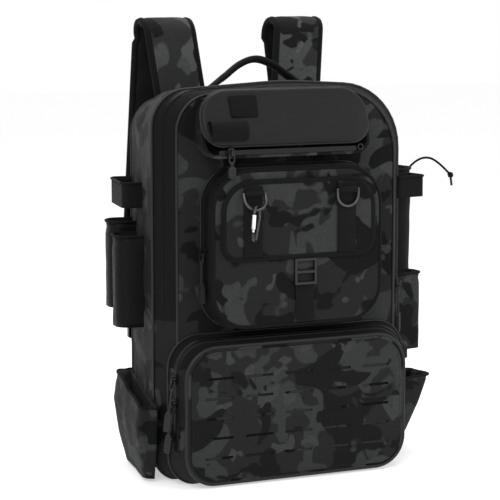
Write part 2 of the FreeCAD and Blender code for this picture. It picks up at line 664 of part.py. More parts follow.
# Zips: raised tracks on the gussets, sliders with an arch, and moulded pulls that swing in the arch


def zip_track(label, section, start, stop, floor, places):
    # a band that stands out of the flared gusset between two of its cross-sections, open at the foot
    body = new_body(label)
    for remove, outset in ((False, "track_out"), (True, "0")):
        rims = [outline(new_sketch(body, "XZ_Plane", places(share)), section(share, outset))
                for share in (start, stop)]
        loft(body, *rims, subtract=remove)
    foot = new_sketch(body, "XZ_Plane", "face_front*2")
    outline(foot, box_corners("-side_half*2", "side_half*2", "-side_half", floor))
    cut(body, foot)
    return body


gusset_deep = "(face_front-panel_thick-seam_front)"
zip_track("front_zip_track", lambda share, outset: bag_outline(
    f"(face_half+(side_half-face_half)*(1-{share}))", f"(bag_high-face_drop/2*{share})",
    inset=f"-{outset}"), "0.35", "0.6", "main_track_low",
    lambda share: f"seam_front+{gusset_deep}*{share}")
pocket_deep = "(mid_front-panel_thick-soft_gap-face_front)"
zip_track("mid_zip_track", lambda share, outset: mid_outline(f"-{outset}", f"mid_flare*(1-{share})"),
          "0.4", "0.64", "mid_low+mid_round_low+cloth",
          lambda share: f"face_front+{pocket_deep}*{share}")
zip_track("bottom_zip_track", lambda share, outset: low_outline(
    f"-{outset}", f"low_flare*(1-{share})", f"(low_high+(low_rear_high-low_high)*(1-{share}))",
    f"(low_low*{share}+soft_gap*(1-{share}))"), "0.4", "0.64", "low_low+low_round_low",
    lambda share: f"face_front+{pocket_deep}*{share}")
case_track = new_body("case_zip_track")
pad(case_track, outline(new_sketch(case_track, "XZ_Plane", "case_front"), box_corners(
    case_left + "+case_round_low", case_right + "-case_round_low", "case_low+case_lip/2-track_wide/2",
    "case_low+case_lip/2+track_wide/2", "cloth/2", "cloth/2")), "track_out")


arch_top = "slider_gap+slider_thick+arch_high"
pivot_out = "(slider_gap+slider_thick+arch_high/2)"


def zip_slider(name, spot, long, lift="0", grip_tall="grip_long", ribs="grip_ribs", swing="0"):
    # local axes: -Y away from the track, Z along the zip; the pull hangs from the arch, lifted off the
    # track by one angle and swung sideways by another
    slider = new_body(name + "_slider", **spot)
    shell = new_sketch(slider, "XZ_Plane", "slider_gap")
    outline(shell, [
        ("-slider_wide/2", "slider_long/2", "slider_wide/4"), ("-slider_wide/3", "-slider_long/2", "cloth/3"),
        ("slider_wide/3", "-slider_long/2", "cloth/3"), ("slider_wide/2", "slider_long/2", "slider_wide/4")])
    pad(slider, shell, "slider_thick")
    arch = new_sketch(slider, "YZ_Plane")
    outline(arch, [
        ("-slider_gap-slider_thick/2", "-arch_long/2", "0"), (f"-({arch_top})-arch_wall", "-arch_long/2",
                                                             "arch_wall*1.5"),
        (f"-({arch_top})-arch_wall", "arch_long/2", "arch_wall*1.5"),
        ("-slider_gap-slider_thick/2", "arch_long/2", "0")])
    pad(slider, arch, "arch_wide", both=True)
    eye = new_sketch(slider, "YZ_Plane")
    outline(eye, [
        ("-slider_gap-slider_thick", "-arch_long/2+arch_wall", "0"),
        (f"-({arch_top})", "-arch_long/2+arch_wall", "arch_wall/2"),
        (f"-({arch_top})", "arch_long/2-arch_wall", "arch_wall/2"),
        ("-slider_gap-slider_thick", "arch_long/2-arch_wall", "0")])
    cut(slider, eye, "arch_wide*2", both=True)

    yaw = spot.get("yaw", "0")
    pull = new_body(name + "_pull", x=f"{spot['x']}+sin({yaw})*{pivot_out}",
                    y=f"{spot['y']}-cos({yaw})*{pivot_out}", z=f"{spot['z']}-pull_seat", yaw=yaw,
                    pitch=swing, roll=f"-{lift}")
    start = "-pull_thick/2"
    bar = new_sketch(pull, "XZ_Plane", start)
    outline(bar, [
        ("-pull_wide/2", "pull_thick*0.6", "pull_thick/2"), ("-pull_wide/2", "-pull_ring", "pull_wide/4"),
        ("-pull_neck/2", "-pull_ring-pull_wide/2", "0"), ("-pull_neck/2", f"-{long}+{grip_tall}-cloth", "0"),
        ("pull_neck/2", f"-{long}+{grip_tall}-cloth", "0"), ("pull_neck/2", "-pull_ring-pull_wide/2", "0"),
        ("pull_wide/2", "-pull_ring", "pull_wide/4"), ("pull_wide/2", "pull_thick*0.6", "pull_thick/2")])
    pad(pull, bar, "pull_thick")
    window = new_sketch(pull, "XZ_Plane", f"{start}-pull_thick")
    outline(window, box_corners(
        "-pull_wide/2+pull_thick", "pull_wide/2-pull_thick", "-pull_ring", "-pull_thick*0.6",
        "pull_thick/2", "pull_thick/2"))
    cut(pull, window, "3*pull_thick", backwards=True)
    grip = new_sketch(pull, "XZ_Plane", "-grip_thick/2")
    outline(grip, [
        ("-grip_wide/2", f"-{long}", "grip_wide/4"), ("grip_wide/2", f"-{long}", "grip_wide/4"),
        ("grip_wide/2", f"-{long}+{grip_tall}*0.8", "grip_wide/4"),
        ("pull_neck/2", f"-{long}+{grip_tall}", "0"), ("-pull_neck/2", f"-{long}+{grip_tall}", "0"),
        ("-grip_wide/2", f"-{long}+{grip_tall}*0.8", "grip_wide/4")])
    pad(pull, grip, "grip_thick")
    rib = new_sketch(pull, "XZ_Plane", "grip_thick/2")
    outline(rib, box_corners("-grip_wide*0.38", "grip_wide*0.38", f"-{long}+grip_pitch*0.6",
                             f"-{long}+grip_pitch*0.6+grip_groove"))
    groove = cut(pull, rib, "grip_groove")
    repeat(pull, groove, "Z_Axis", f"grip_pitch*({ribs}-1)", ribs)


def side_spot(sign, flare, deep, share, half, face, high):
    # on a flared side wall: the local -Y axis follows the wall's outward normal
    slope = f"atan(({flare})/({deep}))"
    return {"x": f"{sign}*({half}+({flare})*(1-{share})+track_out)", "y": f"-({face}+{deep}*{share})",
            "z": high, "yaw": f"{sign}*(90deg-{slope})"}


low_spot = ("-1", "low_flare", pocket_deep, "0.52", "low_half", "face_front")
zip_slider("bottom_zip_upper", side_spot(*low_spot, "low_slider_high"), "pull_long", "pull_lift")
zip_slider("bottom_zip_lower", side_spot(*low_spot, "second_slider_high"), "pull_long", swing="pull_swing")
zip_slider("mid_zip", side_spot("-1", "mid_flare", pocket_deep, "0.52", "mid_half", "face_front",
                                "mid_slider_high"), "pull_long")
zip_slider("front_zip", side_spot("1", "side_half-face_half", gusset_deep, "0.475", "face_half",
                                  "seam_front", "main_slider_high"), "pull_long")
zip_slider("case_zip", {"x": "case_slider_place", "y": "-case_front-track_out",
                        "z": "case_low+case_lip/2"}, "case_pull_long", "0", "case_grip_long", "case_grip_ribs")


# Side fittings. Each sits in local axes on the slanting side wall: -Y is outwards, Z up.


side_slope = "(side_half-back_half)/(back_depth+seam_front)"


def side_wall(sign, along):
    return {"x": f"{sign}*(side_half-{side_slope}*({along}+seam_front))", "y": along,
            "yaw": f"{sign}*(90deg+atan({side_slope}))"}


def wall_loop(half, out, inset="0", corner="cloth"):
    # a loop that stands out of the wall, seen from above: its two roots are on the wall
    reach = "cloth" if inset != "0" else "0"
    return [(f"-({half})+{inset}", reach, "0"), (f"-({half})+{inset}", f"-({out})+{inset}", corner),
            (f"{half}-{inset}", f"-({out})+{inset}", corner), (f"{half}-{inset}", reach, "0")]


def wall_band(label, sign, along, half, out, low, high, corner, wall):
    body = new_body(label, **side_wall(sign, along))
    pad(body, outline(new_sketch(body, "XY_Plane", low), wall_loop(half, out, corner=corner)),
        f"{high}-({low})")
    inside = outline(new_sketch(body, "XY_Plane", f"{low}-cloth"),
                     wall_loop(half, out, wall, f"{corner}-{wall}"))
    cut(body, inside, f"{high}-({low})+2*cloth", backwards=True)
    return body


def wall_pocket(label, sign, along, foot, mouth, low, high, corner):
    # a pocket with a closed back and foot, open at the top; foot and mouth are (half width, reach)
    body = new_body(label, **side_wall(sign, along))

    def ring(size, inset, height):
        half, out = size
        return outline(new_sketch(body, "XY_Plane", height), [
            (f"-({half})+{inset}", f"-{inset}", f"{corner}/3"),
            (f"-({half})+{inset}", f"-({out})+{inset}", f"{corner}-{inset}"),
            (f"{half}-{inset}", f"-({out})+{inset}", f"{corner}-{inset}"),
            (f"{half}-{inset}", f"-{inset}", f"{corner}/3")])

    loft(body, ring(foot, "0", low), ring(mouth, "0", high))
    loft(body, ring(foot, "cloth", f"{low}+cloth"), ring(mouth, "cloth", high), subtract=True)
    return body


def strap_tail(body, left, right, near, far, low, high):
    tail = outline(new_sketch(body, "XY_Plane", low), box_corners(left, right, near, far))
    pad(body, tail, f"{high}-({low})")


left_strap = wall_band("rod_strap_left", "-1", "rod_strap_y", "rod_strap_half", "rod_strap_out",
                       "rod_strap_low", "rod_strap_high", "cloth*3", "strap_cloth")
strap_tail(left_strap, "-rod_strap_half-strap_tail", "0", "-rod_strap_out", "-rod_strap_out+strap_cloth",
           "rod_strap_low", "rod_strap_high")
wall_band("rod_sleeve_left_front", "-1", "tube_front_y", "tube_half", "tube_out", "tube_front_low",
          "tube_front_high", "tube_half*0.8", "tube_wall")
wall_band("rod_sleeve_left_rear", "-1", "tube_rear_y", "tube_half", "tube_out", "tube_rear_low",
          "tube_rear_high", "tube_half*0.8", "tube_wall")
wall_pocket("rod_pocket_left", "-1", "side_pocket_y", ("side_pocket_foot", "side_pocket_foot_out"),
            ("side_pocket_half", "side_pocket_out"), "side_pocket_low", "side_pocket_high",
            "side_pocket_round")
right_strap = wall_band("rod_strap_right", "1", "right_rod_y", "right_strap_half", "right_strap_out",
                        "right_strap_low", "right_strap_high", "cloth*2", "strap_cloth")
strap_tail(right_strap, "0", "strap_cloth", "-right_strap_out-strap_tail*0.7",
           "-right_strap_out+strap_cloth/2", "right_strap_low", "right_strap_high")
wall_band("rod_sleeve_right", "1", "right_rod_y", "right_tube_half", "right_tube_out", "right_tube_low",
          "right_tube_high", "right_tube_half*0.7", "tube_wall")
wall_pocket("rod_pocket_right", "1", "right_rod_y", ("funnel_foot", "funnel_foot_out"),
            ("funnel_half", "funnel_out"), "funnel_low", "funnel_high", "funnel_round")
wall_pocket("bottle_pocket", "1", "bottle_y", ("bottle_half", "bottle_out"),
            ("bottle_half", "bottle_out"), "bottle_low", "bottle_high", "bottle_round")


# Strap webbing behind the bag: a ladder lock under each shoulder strap and the band down to the base


lock_out = "strap_back-strap_thick/2"
anchor = "back_depth+frame_sheet"
for side, sign in (("left", "-1"), ("right", "1")):
    middle = f"{sign}*(strap_middle+strap_lean+strap_spread)"
    lock = new_body(f"strap_adjuster_{side}", x=middle, y=lock_out, z="strap_low-adjuster_high")
    pad(lock, outline(new_sketch(lock, "XZ_Plane", "-adjuster_thick/2"), box_corners(
        "-webbing_wide/2-adjuster_rim", "webbing_wide/2+adjuster_rim", "0", "adjuster_high",
        "adjuster_rim/2", "adjuster_rim/2")), "adjuster_thick")
    for low in ("adjuster_rim", "adjuster_high/2+adjuster_rim/4"):
        slit = new_sketch(lock, "XZ_Plane", "-adjuster_thick")
        outline(slit, box_corners("-webbing_wide/2", "webbing_wide/2", low,
                                  f"{low}+adjuster_high/2-adjuster_rim*1.4", "cloth/4", "cloth/4"))
        cut(lock, slit, "2*adjuster_thick", backwards=True)
    band = new_body(f"strap_webbing_{side}", x=middle)
    top = "strap_low-adjuster_high"
    pad(band, outline(new_sketch(band, "YZ_Plane"), [
        (anchor, "lower_anchor_high", "0"), (anchor + "+webbing_thick", "lower_anchor_high", "0"),
        (f"{lock_out}+webbing_thick/2", top, "0"), (f"{lock_out}-webbing_thick/2", top, "0"),
        (anchor, "lower_anchor_high+webbing_wide", "0")]), "webbing_wide", both=True)


# Drawcord of the bottle pocket: it leaves an eyelet on the rim, rises, droops and ends in a knot


eyelet = new_body("cord_eyelet", **side_wall("1", "bottle_y"))
pad(eyelet, circle(new_sketch(eyelet, "XZ_Plane", "bottle_out"), "0", "bottle_high-eyelet_wide",
                   "eyelet_wide/2"), "eyelet_thick")
cord_start = eyelet.Placement.multVec(Vector(
    0, -number("bottle_out+eyelet_thick/2"), number("bottle_high-eyelet_wide")))
cord_steps = [(0, 0, 0), (10, -4, 15), (29, -10, 23), (47, -15, 12), (60, -19, -3)]
cord_points = [cord_start + Vector(*step) for step in cord_steps]


def cord(label, points):
    # straight runs joined by tangent arcs, each as large as its two runs allow
    radius = number("cord_wide/2")
    edges, start = [], points[0]
    for before, here, after in zip(points, points[1:], points[2:]):
        towards, away = (here - before), (after - here)
        turn = towards.getAngle(away)
        back = 0.45 * min(towards.Length, away.Length)
        bend = back / math.tan(turn / 2)
        print(f"{label}: arc radius {bend:.1f}")
        towards.normalize()
        away.normalize()
        first, last = here - towards * back, here + away * back
        inward = (away - towards).normalize()
        middle = here + inward * (bend / math.cos(turn / 2) - bend)
        edges += [Part.LineSegment(start, first).toShape(), Part.Arc(first, middle, last).toShape()]
        start = last
    edges.append(Part.LineSegment(start, points[-1]).toShape())
    route = Part.Wire(edges)
    ring = Part.Wire([Part.Circle(points[0], points[1] - points[0], radius).toShape()])
    solid = route.makePipeShell([ring], True, False)
    expected = math.pi * radius ** 2 * route.Length
    print(f"{label}: length {route.Length:.1f}, volume {solid.Volume:.1f} of {expected:.1f}")
    item = document.addObject("Part::Feature", label)
    item.Label = label
    item.Shape = solid
    item.Placement = FreeCAD.Placement()
    nodes.append(item)


cord("bottle_drawcord", cord_points)

# the knot: three turns of the cord round each other, and the short end that hangs from it
knot_end = cord_points[-1]
turn_radius = "knot_wide/2-cord_wide/2"
turns = []
for yaw, pitch, roll in (("0", "0", "40"), ("0", "75", "0"), ("50", "0", "-50")):
    turns.append(new_part("Part::Torus", "knot_turn", {"yaw": yaw, "pitch": pitch, "roll": roll},
                          Radius1=turn_radius, Radius2="cord_wide/2"))
turns.append(new_part("Part::Sphere", "knot_core", {}, Radius="knot_wide/2-cord_wide/4"))
turns.append(new_part("Part::Cylinder", "knot_tail", {"roll": "172", "yaw": "30"}, Radius="cord_wide/2",
                      Height="knot_wide*1.7"))
join("cord_knot", turns, x=knot_end.x, y=knot_end.y, z=knot_end.z)


# Every object is sound, and each named piece is one valid solid written to its own file


document.recompute()
for item in document.Objects:
    if "Invalid" in item.State or "Error" in item.State:
        raise ValueError(item.Label + ": " + ", ".join(item.State))
os.makedirs("parts", exist_ok=True)
for node in nodes:
    if node.Shape.isNull() or not node.Shape.isValid() or len(node.Shape.Solids) != 1:
        raise ValueError(node.Label + ": not one valid solid")
    node.Shape.exportStep(f"parts/{node.Label}.step")
print(f"{len(nodes)} pieces written")
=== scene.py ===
import math

import bmesh
import bpy
from mathutils import Matrix, Vector, noise


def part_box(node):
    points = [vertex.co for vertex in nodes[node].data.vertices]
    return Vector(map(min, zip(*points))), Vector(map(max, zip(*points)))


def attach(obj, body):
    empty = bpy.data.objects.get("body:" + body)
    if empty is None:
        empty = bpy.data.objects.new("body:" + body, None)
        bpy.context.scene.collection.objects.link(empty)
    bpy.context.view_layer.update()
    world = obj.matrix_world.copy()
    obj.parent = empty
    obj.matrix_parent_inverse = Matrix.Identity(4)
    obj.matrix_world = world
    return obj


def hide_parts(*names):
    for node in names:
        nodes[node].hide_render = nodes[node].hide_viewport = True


# Tackle backpack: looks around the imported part. Metres, +Z up, the bag's front faces -Y.

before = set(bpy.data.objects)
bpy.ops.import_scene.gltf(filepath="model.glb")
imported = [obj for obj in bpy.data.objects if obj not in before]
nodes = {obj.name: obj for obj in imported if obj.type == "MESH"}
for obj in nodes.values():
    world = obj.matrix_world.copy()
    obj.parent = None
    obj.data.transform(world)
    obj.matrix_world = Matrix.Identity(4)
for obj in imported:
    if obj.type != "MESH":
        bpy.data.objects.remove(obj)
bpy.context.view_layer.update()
scene = bpy.context.scene
print("frame loaded:", len(nodes), "nodes")

# Camera and view

cameraSet = {"place": (-1.034933, -2.284880, 0.624228), "tilt": 82.09, "turn": -24.12, "lens": 140.5}

camera = bpy.data.objects.new("camera", bpy.data.cameras.new("camera"))
scene.collection.objects.link(camera)
camera.location = cameraSet["place"]
camera.rotation_euler = (math.radians(cameraSet["tilt"]), 0, math.radians(cameraSet["turn"]))
camera.data.sensor_width = 36
camera.data.lens = cameraSet["lens"]
scene.camera = camera
scene.view_settings.view_transform = "Standard"


# Materials: small node helpers


def link(tree, source, target):
    tree.links.new(source, target)


def newMaterial(name, roughness=0.8, metallic=0.0, sheen=0.0, shine=0.1):
    material = bpy.data.materials.new(name)
    material.use_nodes = True
    tree = material.node_tree
    shader = tree.nodes["Principled BSDF"]
    shader.inputs["Roughness"].default_value = roughness
    shader.inputs["Metallic"].default_value = metallic
    shader.inputs["Specular IOR Level"].default_value = shine
    if sheen:
        shader.inputs["Sheen Weight"].default_value = sheen
        shader.inputs["Sheen Roughness"].default_value = 0.5
    return material, tree, shader


def objectPoint(tree, scale=(1, 1, 1), shift=(0, 0, 0)):
    where = tree.nodes.new("ShaderNodeTexCoord")
    mapping = tree.nodes.new("ShaderNodeMapping")
    mapping.inputs["Scale"].default_value = scale
    mapping.inputs["Location"].default_value = shift
    link(tree, where.outputs["Object"], mapping.inputs["Vector"])
    return mapping.outputs["Vector"]


def noiseField(tree, point, scale, detail=2.0, rough=0.5, warp=0.0):
    field = tree.nodes.new("ShaderNodeTexNoise")
    field.inputs["Scale"].default_value = scale
    field.inputs["Detail"].default_value = detail
    field.inputs["Roughness"].default_value = rough
    field.inputs["Distortion"].default_value = warp
    link(tree, point, field.inputs["Vector"])
    return field.outputs["Fac"]


def ramp(tree, value, stops):
    node = tree.nodes.new("ShaderNodeValToRGB")
    node.color_ramp.interpolation = "LINEAR"
    elements = node.color_ramp.elements
    while len(elements) > 1:
        elements.remove(elements[-1])
    elements[0].position, elements[0].color = stops[0][0], (*stops[0][1], 1)
    for place, colour in stops[1:]:
        elements.new(place).color = (*colour, 1)
    link(tree, value, node.inputs["Fac"])
    return node.outputs["Color"]


def mixColour(tree, amount, first, second, blend="MIX"):
    node = tree.nodes.new("ShaderNodeMix")
    node.data_type = "RGBA"
    node.blend_type = blend
    for label, value in (("Factor", amount), ("A", first), ("B", second)):
        socket = node.inputs[label]
        if isinstance(value, (int, float)):
            socket.default_value = value
        elif isinstance(value, tuple):
            socket.default_value = (*value, 1)
        else:
            link(tree, value, socket)
    return node.outputs["Result"]


def maths(tree, kind, first, second):
    node = tree.nodes.new("ShaderNodeMath")
    node.operation = kind
    for socket, value in zip(node.inputs, (first, second)):
        if isinstance(value, (int, float)):
            socket.default_value = value
        else:
            link(tree, value, socket)
    return node.outputs["Value"]


def threads(tree, spacing, twist=0.0):
    # a weave: ridges across each of the object's three axes
    point = objectPoint(tree)
    ridges = []
    for axis in ("X", "Z", "Y"):
        wave = tree.nodes.new("ShaderNodeTexWave")
        wave.bands_direction = axis
        wave.inputs["Scale"].default_value = 0.314 / spacing
        wave.inputs["Distortion"].default_value = twist
        link(tree, point, wave.inputs["Vector"])
        ridges.append(wave.outputs["Fac"])
    return maths(tree, "MAXIMUM", maths(tree, "MAXIMUM", ridges[0], ridges[1]), ridges[2])


def bump(tree, shader, height, distance, strength=0.5, before=None):
    node = tree.nodes.new("ShaderNodeBump")
    node.inputs["Strength"].default_value = strength
    node.inputs["Distance"].default_value = distance
    link(tree, height, node.inputs["Height"])
    if before is not None:
        link(tree, before, node.inputs["Normal"])
    link(tree, node.outputs["Normal"], shader.inputs["Normal"])
    return node.outputs["Normal"]


tones = {
    "black": (0.0042, 0.0043, 0.0046), "charcoal": (0.0145, 0.0148, 0.0152),
    "greyGreen": (0.034, 0.0372, 0.0355), "pale": (0.043, 0.047, 0.0445), "trim": (0.0052, 0.0053, 0.0056),
}


def camo(tree, shift=(0, 0, 0), size=1.0, gain=1.0):
    # rounded blotches in four dark tones
    point = objectPoint(tree, (1, 0.8, 0.9), shift)
    base = noiseField(tree, point, 17 / size, 2.2, 0.5, 0.45)
    point = objectPoint(tree, (0.9, 0.8, 1.1), (3.1 + shift[0], 1.7, 0.4))
    second = noiseField(tree, point, 20 / size, 2.0, 0.5, 0.5)
    point = objectPoint(tree, (1, 1, 1), (7.7 + shift[0], 0.2, 5.4))
    third = noiseField(tree, point, 26 / size, 1.8, 0.5, 0.4)
    greenMask = ramp(tree, base, [(0.505, (0, 0, 0)), (0.52, (1, 1, 1))])
    blackMask = ramp(tree, second, [(0.56, (0, 0, 0)), (0.575, (1, 1, 1))])
    paleMask = ramp(tree, third, [(0.62, (0, 0, 0)), (0.635, (1, 1, 1))])
    colour = mixColour(tree, greenMask, tones["charcoal"], tones["greyGreen"])
    colour = mixColour(tree, paleMask, colour, tones["pale"])
    colour = mixColour(tree, blackMask, colour, tones["black"])
    return mixColour(tree, 1.0, colour, (gain, gain, gain), "MULTIPLY")


def fabricMaterial(name, colourMaker, spacing=0.0009, roughness=0.78, sheen=0.02, depth=0.00025):
    material, tree, shader = newMaterial(name, roughness, 0, sheen)
    colour = colourMaker(tree)
    mottle = noiseField(tree, objectPoint(tree), 260, 3, 0.6)
    shade = ramp(tree, mottle, [(0.3, (0.82, 0.82, 0.82)), (0.7, (1.18, 1.18, 1.18))])
    link(tree, mixColour(tree, 1.0, colour, shade, "MULTIPLY"), shader.inputs["Base Color"])
    rough = ramp(tree, mottle, [(0.3, (roughness - 0.1,) * 3), (0.7, (min(1, roughness + 0.1),) * 3)])
    link(tree, rough, shader.inputs["Roughness"])
    first = bump(tree, shader, threads(tree, spacing, 0.6), depth, 0.45)
    bump(tree, shader, noiseField(tree, objectPoint(tree), 90, 3, 0.6), 0.0006, 0.25, first)
    return material


def gussetColour(tree, height=0.206):
    # black from a height upwards and camouflage below it
    where = tree.nodes.new("ShaderNodeTexCoord")
    parts = tree.nodes.new("ShaderNodeSeparateXYZ")
    link(tree, where.outputs["Object"], parts.inputs["Vector"])
    mask = maths(tree, "GREATER_THAN", parts.outputs["Z"], height)
    return mixColour(tree, mask, camo(tree), tones["trim"])


def webbingMaterial(name, along="Z", tone=None):
    material, tree, shader = newMaterial(name, 0.72, 0, 0.02)
    wave = tree.nodes.new("ShaderNodeTexWave")
    wave.bands_direction = along
    wave.inputs["Scale"].default_value = 0.314 / 0.0016
    wave.inputs["Distortion"].default_value = 1.2
    wave.inputs["Detail"].default_value = 1
    link(tree, objectPoint(tree), wave.inputs["Vector"])
    shade = ramp(tree, wave.outputs["Fac"], [(0.0, (0.7, 0.7, 0.7)), (1.0, (1.25, 1.25, 1.25))])
    link(tree, mixColour(tree, 1.0, tone or tones["trim"], shade, "MULTIPLY"), shader.inputs["Base Color"])
    bump(tree, shader, wave.outputs["Fac"], 0.0003, 0.6)
    return material


def solidMaterial(name, colour, roughness, metallic=0.0, grain=0.0001, grainScale=900, wear=0.15,
        shine=0.25):
    material, tree, shader = newMaterial(name, roughness, metallic, 0, 0.5 if metallic else shine)
    field = noiseField(tree, objectPoint(tree), grainScale, 3, 0.6)
    broad = noiseField(tree, objectPoint(tree), 45, 3, 0.6)
    shade = ramp(tree, broad, [(0.3, (1 - wear,) * 3), (0.7, (1 + wear,) * 3)])
    link(tree, mixColour(tree, 1.0, colour, shade, "MULTIPLY"), shader.inputs["Base Color"])
    rough = ramp(tree, broad, [(0.3, (max(0.05, roughness - 0.07),) * 3), (0.7, (roughness + 0.07,) * 3)])
    link(tree, rough, shader.inputs["Roughness"])
    bump(tree, shader, field, grain, 0.4)
    return material


def meshMaterial(name):
    # spacer mesh of the cushions and the straps' inner faces: small round holes, their dark centres painted
    # shade inside the holes
    material, tree, shader = newMaterial(name, 0.9, 0, 0.03)
    cells = tree.nodes.new("ShaderNodeTexVoronoi")
    cells.inputs["Scale"].default_value = 300
    cells.inputs["Randomness"].default_value = 0.15
    link(tree, objectPoint(tree), cells.inputs["Vector"])
    # dark at the holes' centres and lighter between them: painted shade inside the holes
    colour = ramp(tree, cells.outputs["Distance"], [(0.15, (0.002, 0.002, 0.0022)),
            (0.45, (0.011, 0.011, 0.012))])
    link(tree, colour, shader.inputs["Base Color"])
    bump(tree, shader, cells.outputs["Distance"], 0.0008, 0.8)
    return material


camoCloth = fabricMaterial("camo_cloth", lambda tree: camo(tree, gain=1.12))
# the straps carry the bag's camouflage at gain 1.9 against the bag's 1.12: a brighter copy of the same cloth,
# painted light on the straps
strapClothPaintedLight = fabricMaterial("camo_strap_painted_light", lambda tree: camo(tree, (0.9, 0.4, 0.2), 0.9, 1.9))
camoLaminate = fabricMaterial("camo_laminate", lambda tree: camo(tree, (0.3, 0, 0.1), 0.85), 0.0009, 0.62,
        0.02)
gussetCloth = fabricMaterial("gusset_cloth", gussetColour)
blackCloth = fabricMaterial("black_cloth", lambda tree: tones["trim"])
lowerCloth = fabricMaterial("bottom_gusset_cloth", lambda tree: gussetColour(tree, 0.150))
smoothCloth = fabricMaterial("smooth_black_cloth", lambda tree: (0.0036, 0.0037, 0.0039), 0.0006, 0.5, 0.0,
        0.0001)
bindingCloth = webbingMaterial("binding_tape", "Z", (0.0042, 0.0043, 0.0046))
bandCloth = webbingMaterial("webbing_band", "Z")
sideBand = webbingMaterial("webbing_side", "Z", (0.0048, 0.0049, 0.0052))
padMesh = meshMaterial("pad_mesh")
threadBlack = solidMaterial("sewing_thread", (0.011, 0.0112, 0.0115), 0.7)
caseBlack = solidMaterial("moulded_case", (0.0058, 0.0058, 0.006), 0.5, 0, 0.00012, 700, 0.08, 0.2)
buckleBlack = solidMaterial("buckle_plastic", (0.006, 0.006, 0.0063), 0.35, 0, 0.0001, 900, 0.1, 0.4)
coilBlack = solidMaterial("zip_coil", (0.004, 0.004, 0.0043), 0.45)
sliderMetal = solidMaterial("zip_slider", (0.018, 0.018, 0.019), 0.35, 0.6)
pullRubber = solidMaterial("pull_rubber", (0.0085, 0.0086, 0.009), 0.55, 0, 0.0001, 900, 0.15, 0.35)
ringSteel = solidMaterial("ring_steel", (0.07, 0.071, 0.073), 0.32, 1.0)
linkSteel = solidMaterial("link_aluminium", (0.72, 0.73, 0.75), 0.22, 1.0, 0.00003)
darkSteel = solidMaterial("link_dark", (0.06, 0.06, 0.062), 0.3, 1.0)
pipingBlack = solidMaterial("piping", (0.0055, 0.0056, 0.0058), 0.45, 0, 0.0001, 500, 0.1, 0.3)
cordBlack = webbingMaterial("cord_braid", "X", (0.006, 0.006, 0.0063))
print("materials made")


# Shape helpers


def finishMesh(name, points, faces, material, body):
    # nothing reaches below the floor
    mesh = bpy.data.meshes.new(name)
    mesh.from_pydata([(p[0], p[1], max(p[2], 0.0)) for p in points], [], faces)
    shape = bmesh.new()
    shape.from_mesh(mesh)
    bmesh.ops.remove_doubles(shape, verts=shape.verts, dist=0.00001)
    bmesh.ops.recalc_face_normals(shape, faces=shape.faces)
    shape.to_mesh(mesh)
    shape.free()
    for face in mesh.polygons:
        face.use_smooth = True
    piece = bpy.data.objects.new(name, mesh)
    scene.collection.objects.link(piece)
    mesh.materials.append(material)
    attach(piece, body)
    return piece


def applyModifiers(piece):
    # swaps the mesh for its evaluated one, so nothing live stays on the piece
    bpy.context.view_layer.update()
    graph = bpy.context.evaluated_depsgraph_get()
    mesh = bpy.data.meshes.new_from_object(piece.evaluated_get(graph))
    piece.modifiers.clear()
    piece.data = mesh


def thicken(piece, thickness):
    modifier = piece.modifiers.new("wall", "SOLIDIFY")
    modifier.thickness = thickness
    modifier.offset = -1.0
    applyModifiers(piece)
    for vertex in piece.data.vertices:
        vertex.co.z = max(vertex.co.z, 0.0)


def arcPoints(centre, first, last, steps):
    # points round a centre from one radius to the other, both ends included
    turn = math.atan2(first.cross(last), first.dot(last))
    points = []
    for k in range(steps + 1):
        angle = turn * k / steps
        points.append(centre + Vector((first.x * math.cos(angle) - first.y * math.sin(angle),
                first.x * math.sin(angle) + first.y * math.cos(angle))))
    return points


def gridFaces(rows, count, closed=True):
    # four-sided faces between rows of points that each hold the same count
    faces = []
    for j in range(rows):
        for i in range(count if closed else count - 1):
            k = (i + 1) % count
            faces.append((j * count + i, j * count + k, (j + 1) * count + k, (j + 1) * count + i))
    return faces


def loopPoints(corners, inset=0.0, arcSteps=10, step=0.008, like=None):
    # corners are (x, z, radius) going round; the same counts come out for every inset, or for another loop
    count = len(corners)
    base = [Vector((c[0], c[1])) for c in corners]
    area = sum(base[i].cross(base[(i + 1) % count]) for i in range(count))
    side = 1 if area > 0 else -1
    moved = []
    for i in range(count):
        before = (base[i] - base[i - 1]).normalized()
        after = (base[(i + 1) % count] - base[i]).normalized()
        inwardA = Vector((-before.y, before.x)) * side
        inwardB = Vector((-after.y, after.x)) * side
        middle = (inwardA + inwardB).normalized()
        moved.append(base[i] + middle * (inset / max(0.2, middle.dot(inwardA))))
    arcs = []
    for i in range(count):
        towards = (moved[i - 1] - moved[i]).normalized()
        away = (moved[(i + 1) % count] - moved[i]).normalized()
        half = towards.angle(away) / 2
        radius = max(corners[i][2] - inset, 0.0004)
        back = radius / math.tan(half)
        centre = moved[i] + (towards + away).normalized() * (radius / math.sin(half))
        first = moved[i] + towards * back - centre
        last = moved[i] + away * back - centre
        arcs.append(arcPoints(centre, first, last, arcSteps))
    points = []
    model = [Vector((c[0], c[1])) for c in like or corners]
    for i in range(count):
        following = arcs[(i + 1) % count]
        pieces = max(1, round((model[(i + 1) % count] - model[i]).length / step))
        points += arcs[i]
        for k in range(1, pieces):
            points.append(arcs[i][-1].lerp(following[0], k / pieces))
    return points


def ruffle(point, amount, size, seed=0.0):
    # broad soft creases plus a finer crumple
    spot = Vector(point) / size + Vector((seed, seed * 0.7, seed * 1.3))
    return amount * (noise.noise(spot) + 0.4 * noise.noise(spot * 2.3))


